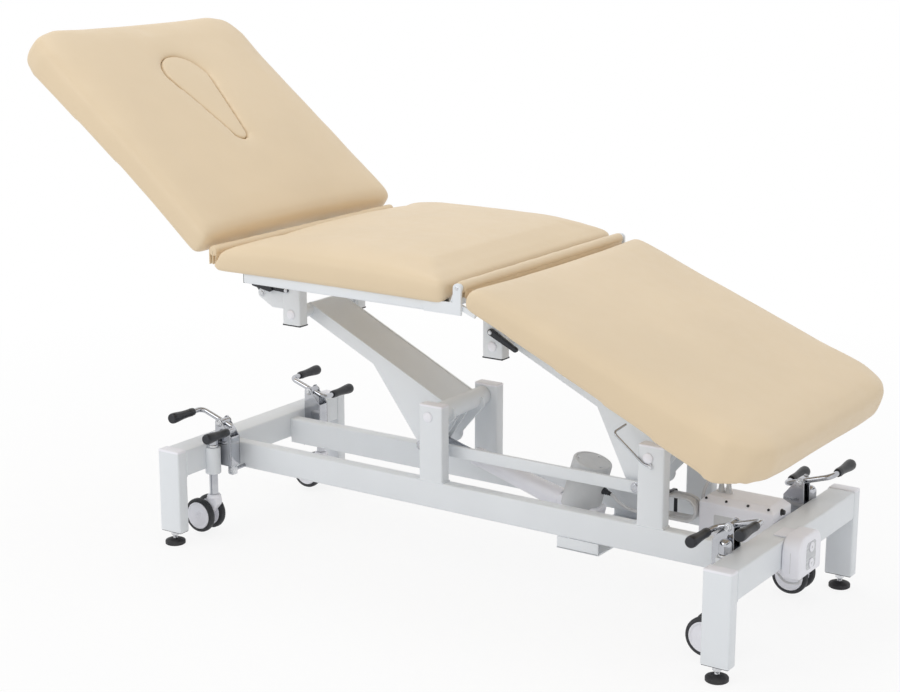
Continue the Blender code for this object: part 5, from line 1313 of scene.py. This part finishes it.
def build_control_box():
    """The lift's control box: case and chamfered lid, screws, strain reliefs, knob and a bare label place."""
    low, high = Vector((0.6340, 0.0057, 0.165)), Vector((0.7980, 0.0937, 0.250))
    seam = 0.2260
    case = round_edges(block(low, (high.x, high.y, seam - 0.0001)), 0.0022, 3, running(2))
    put(case, "control_box_case", "base", "plastic", "control_box")
    core = block(low + Vector((0.0012, 0.0012, 0.01)), (high.x - 0.0012, high.y - 0.0012, seam + 0.002))
    round_edges(core, 0.004, 2, running(2))
    put(core, "control_box_seam", "base", "motor", "control_box")
    lid = round_edges(block((low.x, low.y, seam + 0.0001), high), 0.013, 1, highest(high.z))
    round_edges(lid, 0.0022, 3, lambda edge: sharp(edge) and max(v.co.z for v in edge.verts) > seam + 0.001)
    put(lid, "control_box_lid", "base", "plastic", "control_box")
    screws = []
    for x in (low.x + 0.013, low.x + 0.058, high.x - 0.058, high.x - 0.013):
        place = Vector((x, low.y + 0.0058, 0.2440))
        screws.append(settle(turned([(0.0028, 0), (0.0030, 0.0006), (0.0026, 0.0016), (0.0012, 0.0019)], 16),
                             along_axis(place, (0, -0.7, 0.7))))
    put(joined(screws), "control_box_screws", "base", "black")
    outline = rounded_box_outline((low.x + 0.034, 0.176), (low.x + 0.104, 0.214), 0.003)
    label = plate(outline, "Y", low.y - 0.0004, low.y + 0.0006, 0.0002)
    put(label, "control_box_label_place", "base", "cable")
    reliefs = []
    for x in (0.6620, 0.6786):
        profile = [(0.0078, 0.2475), (0.0078, 0.2530), (0.0062, 0.2540)]
        for step in range(5):
            height = 0.2560 + 0.0036 * step
            wide = 0.0064 - 0.0004 * step
            profile += [(wide, height), (wide, height + 0.0014), (wide - 0.0011, height + 0.0020),
                        (wide - 0.0011, height + 0.0032)]
        relief = turned(profile, 24)
        reliefs.append(settle(relief, Matrix.Translation((x, BOX_ENTRY.y, 0))))
    put(joined(reliefs), "control_box_reliefs", "base", "motor")
    knob = turned([(0.0070, 0), (0.0070, 0.0020), (0.0056, 0.0024), (0.0052, 0.0070), (0.0044, 0.0078),
                   (0.0020, 0.0080)], 24)
    settle(knob, along_axis((high.x - 0.0004, 0.046, 0.2325), (1, 0, 0)))
    put(knob, "control_box_knob", "base", "black")
    flange = slab((low.x + 0.020, 0.0900, 0.2085), (high.x - 0.020, 0.0938, 0.2160), 0.001)
    put(flange, "control_box_flange", "base", "zinc")


def build_hand_control():
    """The hand control on its hook, with a brushed panel, two buttons and a hanging loop."""
    y, half, low, high = -0.0375, 0.0515, 0.148, 0.232
    face = 0.8598
    front = face + 0.040
    arch = high - 0.030
    outline = (arc((y + half - 0.008, low + 0.008), 0.008, 270, 360, 5)
               + arc((y + half - 0.030, arch), 0.030, 0, 90, 12)
               + arc((y - half + 0.030, arch), 0.030, 90, 180, 12)
               + arc((y - half + 0.008, low + 0.008), 0.008, 180, 270, 5))
    shell = plate(outline, "X", face, front, 0.0055)
    outline = rounded_box_outline((y - 0.022, 0.160), (y + 0.022, 0.216), 0.008)
    panel = plate(outline, "X", front - 0.0010, front + 0.0008, 0.0004)
    for step in (1, -1):
        z = BUTTON_Z + step * BUTTON_STEP
        well = pin((front - 0.0070, y, z), (front + 0.0030, y, z), 0.0104, sides=48)
        for piece in (shell, panel):
            modify(piece, "BOOLEAN", operation="DIFFERENCE", solver="EXACT", object=well)
        bpy.data.objects.remove(well)
    put(shell, "hand_control_shell", "base", "plastic", "hand_control")
    hook = slab((face - 0.030, y - half / 2, 0.2218), (face + 0.006, y + half / 2, 0.2248), 0.001)
    put(hook, "hand_control_hook", "base", "plastic", "hand_control")
    put(panel, "hand_control_panel", "base", "panel")
    for word, step in (("up", 1), ("down", -1)):
        centre = Vector((front - 0.003, y, BUTTON_Z + step * BUTTON_STEP))
        button = turned([(0.0096, 0), (0.0100, 0.0004), (0.0100, 0.0050), (0.0093, 0.0058), (0.0078, 0.0060),
                         (0.0066, 0.0056), (0.0030, 0.0054)], 32)
        put(settle(button, along_axis(centre, (1, 0, 0))), f"button_{word}_dressed", word, "plastic",
            f"button_{word}")
        arrow = [(y - 0.0036, centre.z - step * 0.0022), (y + 0.0036, centre.z - step * 0.0022),
                 (y, centre.z + step * 0.0038)]
        mark = plate(arrow if step > 0 else arrow[::-1], "X", front + 0.0020, front + 0.0028, 0.0002)
        put(mark, f"button_{word}_arrow", word, "motor")
    wide = half + 0.0004
    outline = [(y - wide, low + 0.012), (y + wide, low + 0.012), (y + wide, arch), (y - wide, arch)]
    seam = plate(outline, "X", face + 0.0190, face + 0.0198, 0.0002)
    put(seam, "hand_control_seam", "base", "motor")
    loop = [Vector((face + 0.018, y + half - 0.002 + 0.012 * math.sin(t), 0.196 - 0.020 * math.cos(t)))
            for t in (math.pi * i / 14 for i in range(15))]
    put(wire(loop, 0.0016, 3), "hand_control_loop", "base", "zinc")
    relief = turned([(0.0062, 0), (0.0062, 0.004), (0.0050, 0.005), (0.0052, 0.008), (0.0042, 0.009),
                     (0.0044, 0.012), (0.0034, 0.013), (0.0034, 0.017), (0.0028, 0.018)], 24)
    settle(relief, along_axis((HANDSET_ENTRY.x, y, low + 0.001), (0, 0, -1)))
    put(relief, "hand_control_relief", "base", "motor")
    outlet = turned([(0.0066, 0), (0.0066, 0.003), (0.0050, 0.004), (0.0052, 0.007), (0.0040, 0.008),
                     (0.0042, 0.011), (0.0030, 0.013)], 24)
    settle(outlet, along_axis((BOX_EXIT.x, BOX_EXIT.y, 0.1655), (0, 0, -1)))
    put(outlet, "control_box_outlet", "base", "motor")


def build_wire_hook():
    """The bent wire hook for the hand control on the near foot upright, with its screw clip."""
    clip = Vector((LOW_PIVOTS[1].x + UPRIGHT_SHIFT, -0.1263, 0.352))
    steps = ((0, 0, -0.016), (-0.016, 0, -0.012), (-0.080, 0, 0.038), (-0.084, 0.006, 0.042),
             (-0.084, 0.050, 0.046))
    corners = [clip + Vector(step) for step in steps]
    route = [corners[0]]
    for before, corner, after in zip(corners, corners[1:], corners[2:]):
        reach = min(0.006, (corner - before).length / 2.2, (after - corner).length / 2.2)
        first = corner + (before - corner).normalized() * reach
        last = corner + (after - corner).normalized() * reach
        route += [first.lerp(corner, t).lerp(corner.lerp(last, t), t) for t in (i / 5 for i in range(6))]
    route.append(corners[-1])
    put(wire(route, 0.0025, 4), "wire_hook_dressed", "base", "chrome", "wire_hook")
    tab = bolt_head(corners[0] + Vector((0, 0.0016, 0)), (0, -1, 0), 0.0045, 0.0048)
    put(tab, "wire_hook_screw", "base", "zinc")


def solid_copy(node):
    """A copy of a solid's mesh in its place, with its loose triangles merged."""
    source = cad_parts[node]
    made = bpy.data.objects.new(node, source.data.copy())
    made.data.transform(source.matrix_world)
    bpy.context.scene.collection.objects.link(made)
    return make_solid(made)


def blow_up(made, held, cap):
    """Swell a cover by a cloth simulation, some points held and no other moving further than its cap."""
    scene = bpy.context.scene
    sizes = scene.couch_sizes
    before = [vert.co.copy() for vert in made.data.vertices]
    group = made.vertex_groups.new(name="held")
    group.add(held, 1.0, "REPLACE")
    activate(made)
    cover = made.modifiers.new("cover", "CLOTH")
    cover.settings.quality = 5
    cover.settings.mass = 0.4
    cover.settings.tension_stiffness = 40
    cover.settings.compression_stiffness = 30
    cover.settings.shear_stiffness = 12
    cover.settings.bending_stiffness = 4
    cover.settings.use_pressure = True
    cover.settings.uniform_pressure_force = sizes.pressure
    cover.settings.vertex_group_mass = group.name
    cover.settings.effector_weights.gravity = 0
    cover.collision_settings.use_collision = False
    cover.collision_settings.use_self_collision = False
    cover.point_cache.frame_start = 1
    cover.point_cache.frame_end = sizes.frames
    for step in range(1, sizes.frames + 1):
        scene.frame_set(step)
    bpy.ops.object.modifier_apply(modifier=cover.name)
    scene.frame_set(1)
    moves = []
    for vert, start in zip(made.data.vertices, before):
        move = vert.co - start
        moves.append(move * min(1.0, cap(start) / max(move.length, 1e-9)))
    for vert, start, move in zip(made.data.vertices, before, evened(made, moves, EVENING_ROUNDS)):
        vert.co = start + move
    made.vertex_groups.clear()


def evened(made, moves, times):
    """Moves of a mesh's points, each averaged with its neighbours a number of times."""
    ends = [tuple(edge.vertices) for edge in made.data.edges]
    for _ in range(times):
        sums = [move.copy() for move in moves]
        counts = [1] * len(moves)
        for first, second in ends:
            sums[first] += moves[second]
            sums[second] += moves[first]
            counts[first] += 1
            counts[second] += 1
        moves = [total / count for total, count in zip(sums, counts)]
    return moves


def pull_hem(made, hem):
    """Draw the side hems of a cover down to a height, because smoothing lifts them."""
    points = made.data.vertices
    low = min(vert.co.z for vert in points)
    middle = (low + max(vert.co.z for vert in points)) / 2
    side = max(abs(vert.co.y) for vert in points)
    for vert in points:
        depth = min(1.0, max(0.0, (middle - vert.co.z) / (middle - low)))
        edge = min(1.0, max(0.0, (abs(vert.co.y) - side + HEM_WIDTH) / HEM_BLEND))
        vert.co.z -= depth * depth * edge * (low - hem)


def build_cushions(scene):
    """The four padded pieces: blown up from their solids while level, smoothed, then tilted."""
    sizes = scene.couch_sizes
    cushions = (("seat_cushion", "top", BACK_HINGE, 0.0, 0.008, 0.75, 0.006),
                ("back_cushion", "back", BACK_HINGE, BACK_ANGLE, 0.006, 0.7, 0.0),
                ("face_plug", "plug", BACK_HINGE, BACK_ANGLE, 0.003, 0.7, 0.0),
                ("leg_cushion", "leg", LEG_HINGE, LEG_ANGLE, 0.006, 0.7, 0.019))
    plug = settle(solid_copy("face_plug"), tilt(BACK_HINGE, -BACK_ANGLE))
    hole_low = [min(vert.co[i] for vert in plug.data.vertices) - HOLE_MARGIN for i in (0, 1)]
    hole_high = [max(vert.co[i] for vert in plug.data.vertices) + HOLE_MARGIN for i in (0, 1)]
    bpy.data.objects.remove(plug)
    for node, body, hinge, angle, reach, fill, hang in cushions:
        made = settle(solid_copy(node), tilt(hinge, -angle))
        hem = min(vert.co.z for vert in made.data.vertices)
        modify(made, "REMESH", mode="VOXEL", voxel_size=sizes.voxel if node != "face_plug" else PLUG_VOXEL)
        modify(made, "SMOOTH", factor=0.5, iterations=6)
        low = min(vert.co.z for vert in made.data.vertices)
        high = max(vert.co.z for vert in made.data.vertices)

        def inside_hole(vert):
            near = all(hole_low[i] < vert.co[i] < hole_high[i] for i in (0, 1))
            return node in ("back_cushion", "face_plug") and near and abs(vert.normal.z) < WALL_NORMAL

        def cap(place):
            share = min(1.0, max(0.0, (place.z - low - HELD_BAND) / (high - low - 2 * HELD_BAND)))
            return reach * share

        held = [vert.index for vert in made.data.vertices if vert.co.z < low + HELD_BAND or inside_hole(vert)]
        blow_up(made, held, cap)
        modify(made, "SMOOTH", factor=0.5, iterations=3)
        if node != "face_plug":
            pull_hem(made, hem - hang)
        modify(made, "SUBSURF", levels=1, render_levels=1)
        settle(made, tilt(hinge, angle))
        put(made, f"{node}_cover", body, "vinyl", node, smooth=80)


def build_hinge_rolls():
    """Soft vinyl rolls over the two gaps, with the folded layers of vinyl that hang below them."""
    rolls = (("hinge_roll", "leg_gap", LEG_HINGE, 0.012, 0.0, 0.3188, ((-0.315, 0.315),)),
             ("back_hinge_roll", "back_gap", BACK_HINGE, 0.0115, 0.007, 0.325,
              ((-0.325, -0.150), (0.150, 0.325))))
    for node, name, hinge, radius, rise, half, spans in rolls:
        steps = 90
        profile = [(radius - 0.004, 0), (radius - 0.0012, 0.0012)]
        for i in range(steps + 1):
            t = i / steps
            wave = 0.0003 * math.sin(37 * t) + 0.0002 * math.sin(91 * t + 1)
            profile.append((radius - 0.0004 + wave, 0.004 + (2 * half - 0.008) * t))
        profile += [(radius - 0.0012, 2 * half - 0.0012), (radius - 0.004, 2 * half)]
        place = along_axis(hinge + Vector((0, -half, rise)), (0, 1, 0))
        roll = put(settle(turned(profile, 32), place), f"{name}_roll", "top", "vinyl", node, smooth=60)
        layers = []
        for first, last in spans:
            for x in (-0.0088, 0.0, 0.0088):
                low = (hinge.x + x - 0.0011, first, hinge.z - 0.022)
                high = (hinge.x + x + 0.0011, last, hinge.z + rise)
                layers.append(slab(low, high, 0.0008))
        put(joined(layers), f"{name}_layers", "top", "vinyl")


class COUCH_OT_stage(bpy.types.Operator):
    """Set up the camera, the lights, the world and the floor."""
    bl_idname = "couch.stage"
    bl_label = "Stage"
    bl_options = {"REGISTER", "UNDO"}

    def execute(self, context):
        build_stage(context.scene)
        return {"FINISHED"}


class COUCH_OT_cables(bpy.types.Operator):
    """Lay the motor's cable with its tied hank, and the hand control's cable."""
    bl_idname = "couch.cables"
    bl_label = "Cables"
    bl_options = {"REGISTER", "UNDO"}

    def execute(self, context):
        build_cables()
        return {"FINISHED"}


class COUCH_OT_end_frames(bpy.types.Operator):
    """Model the legs, beams, castor sleeves and pedal brackets."""
    bl_idname = "couch.end_frames"
    bl_label = "End frames"
    bl_options = {"REGISTER", "UNDO"}

    def execute(self, context):
        build_end_frames()
        return {"FINISHED"}


class COUCH_OT_side_frames(bpy.types.Operator):
    """Model the base rails and uprights."""
    bl_idname = "couch.side_frames"
    bl_label = "Side frames"
    bl_options = {"REGISTER", "UNDO"}

    def execute(self, context):
        build_side_frames()
        return {"FINISHED"}


class COUCH_OT_feet(bpy.types.Operator):
    """Model the levelling feet."""
    bl_idname = "couch.feet"
    bl_label = "Levelling feet"
    bl_options = {"REGISTER", "UNDO"}

    def execute(self, context):
        build_feet()
        return {"FINISHED"}


class COUCH_OT_castors(bpy.types.Operator):
    """Model the castors."""
    bl_idname = "couch.castors"
    bl_label = "Castors"
    bl_options = {"REGISTER", "UNDO"}

    def execute(self, context):
        build_castors(context.scene)
        return {"FINISHED"}


class COUCH_OT_pedals(bpy.types.Operator):
    """Model the pedals and their grips."""
    bl_idname = "couch.pedals"
    bl_label = "Pedals"
    bl_options = {"REGISTER", "UNDO"}

    def execute(self, context):
        build_pedals()
        return {"FINISHED"}


class COUCH_OT_lift_arms(bpy.types.Operator):
    """Model the two lift arms and their tie bar."""
    bl_idname = "couch.lift_arms"
    bl_label = "Lift arms"
    bl_options = {"REGISTER", "UNDO"}

    def execute(self, context):
        build_lift_arms()
        return {"FINISHED"}


class COUCH_OT_actuator(bpy.types.Operator):
    """Model the lift actuator and its mount."""
    bl_idname = "couch.actuator"
    bl_label = "Lift actuator"
    bl_options = {"REGISTER", "UNDO"}

    def execute(self, context):
        build_actuator()
        return {"FINISHED"}


class COUCH_OT_seat_frame(bpy.types.Operator):
    """Model the seat's frame with its brackets and ears."""
    bl_idname = "couch.seat_frame"
    bl_label = "Seat frame"
    bl_options = {"REGISTER", "UNDO"}

    def execute(self, context):
        build_seat_frame()
        return {"FINISHED"}


class COUCH_OT_section_frames(bpy.types.Operator):
    """Model the frames under the back and leg sections."""
    bl_idname = "couch.section_frames"
    bl_label = "Back and leg frames"
    bl_options = {"REGISTER", "UNDO"}

    def execute(self, context):
        build_section_frames()
        return {"FINISHED"}


class COUCH_OT_gas_springs(bpy.types.Operator):
    """Model the two gas springs."""
    bl_idname = "couch.gas_springs"
    bl_label = "Gas springs"
    bl_options = {"REGISTER", "UNDO"}

    def execute(self, context):
        build_gas_springs()
        return {"FINISHED"}


class COUCH_OT_release_levers(bpy.types.Operator):
    """Model the two release levers."""
    bl_idname = "couch.release_levers"
    bl_label = "Release levers"
    bl_options = {"REGISTER", "UNDO"}

    def execute(self, context):
        build_release_levers()
        return {"FINISHED"}


class COUCH_OT_control_box(bpy.types.Operator):
    """Model the lift's control box."""
    bl_idname = "couch.control_box"
    bl_label = "Control box"
    bl_options = {"REGISTER", "UNDO"}

    def execute(self, context):
        build_control_box()
        return {"FINISHED"}


class COUCH_OT_hand_control(bpy.types.Operator):
    """Model the hand control and its buttons."""
    bl_idname = "couch.hand_control"
    bl_label = "Hand control"
    bl_options = {"REGISTER", "UNDO"}

    def execute(self, context):
        build_hand_control()
        return {"FINISHED"}


class COUCH_OT_wire_hook(bpy.types.Operator):
    """Model the wire hook on the near foot upright."""
    bl_idname = "couch.wire_hook"
    bl_label = "Wire hook"
    bl_options = {"REGISTER", "UNDO"}

    def execute(self, context):
        build_wire_hook()
        return {"FINISHED"}


class COUCH_OT_cushions(bpy.types.Operator):
    """Blow up the cushions and the face plug."""
    bl_idname = "couch.cushions"
    bl_label = "Cushions"
    bl_options = {"REGISTER", "UNDO"}

    def execute(self, context):
        build_cushions(context.scene)
        return {"FINISHED"}


class COUCH_OT_hinge_rolls(bpy.types.Operator):
    """Model the vinyl rolls over the hinges."""
    bl_idname = "couch.hinge_rolls"
    bl_label = "Hinge rolls"
    bl_options = {"REGISTER", "UNDO"}

    def execute(self, context):
        build_hinge_rolls()
        return {"FINISHED"}


class VIEW3D_PT_couch(bpy.types.Panel):
    """Sizes, colours and steps of the couch."""
    bl_label = "Examination couch"
    bl_space_type = "VIEW_3D"
    bl_region_type = "UI"
    bl_category = "Couch"

    def draw(self, context):
        layout = self.layout
        for group in (context.scene.couch_sizes, context.scene.couch_colours, context.scene.couch_stage):
            column = layout.column(align=True)
            for name in group.__annotations__:
                column.prop(group, name)
        column = layout.column(align=True)
        for kind in OPERATORS:
            column.operator(kind.bl_idname)


GROUPS = (CouchSizes, CouchColours, CouchStage)
OPERATORS = (COUCH_OT_stage, COUCH_OT_cables, COUCH_OT_end_frames, COUCH_OT_side_frames, COUCH_OT_feet,
             COUCH_OT_castors, COUCH_OT_pedals, COUCH_OT_lift_arms, COUCH_OT_actuator, COUCH_OT_seat_frame,
             COUCH_OT_section_frames, COUCH_OT_gas_springs, COUCH_OT_release_levers, COUCH_OT_control_box,
             COUCH_OT_hand_control, COUCH_OT_wire_hook, COUCH_OT_cushions, COUCH_OT_hinge_rolls)


def register():
    for kind in GROUPS + OPERATORS + (VIEW3D_PT_couch,):
        bpy.utils.register_class(kind)
    bpy.types.Scene.couch_sizes = PointerProperty(type=CouchSizes)
    bpy.types.Scene.couch_colours = PointerProperty(type=CouchColours)
    bpy.types.Scene.couch_stage = PointerProperty(type=CouchStage)


def unregister():
    del bpy.types.Scene.couch_stage
    del bpy.types.Scene.couch_colours
    del bpy.types.Scene.couch_sizes
    for kind in reversed(GROUPS + OPERATORS + (VIEW3D_PT_couch,)):
        bpy.utils.unregister_class(kind)


def main():
    register()
    bpy.ops.couch.stage()
    bpy.ops.couch.cables()
    bpy.ops.couch.end_frames()
    bpy.ops.couch.side_frames()
    bpy.ops.couch.feet()
    bpy.ops.couch.castors()
    bpy.ops.couch.pedals()
    bpy.ops.couch.lift_arms()
    bpy.ops.couch.actuator()
    bpy.ops.couch.seat_frame()
    bpy.ops.couch.section_frames()
    bpy.ops.couch.gas_springs()
    bpy.ops.couch.release_levers()
    bpy.ops.couch.control_box()
    bpy.ops.couch.hand_control()
    bpy.ops.couch.wire_hook()
    bpy.ops.couch.cushions()
    bpy.ops.couch.hinge_rolls()


if __name__ == "__main__":
    main()
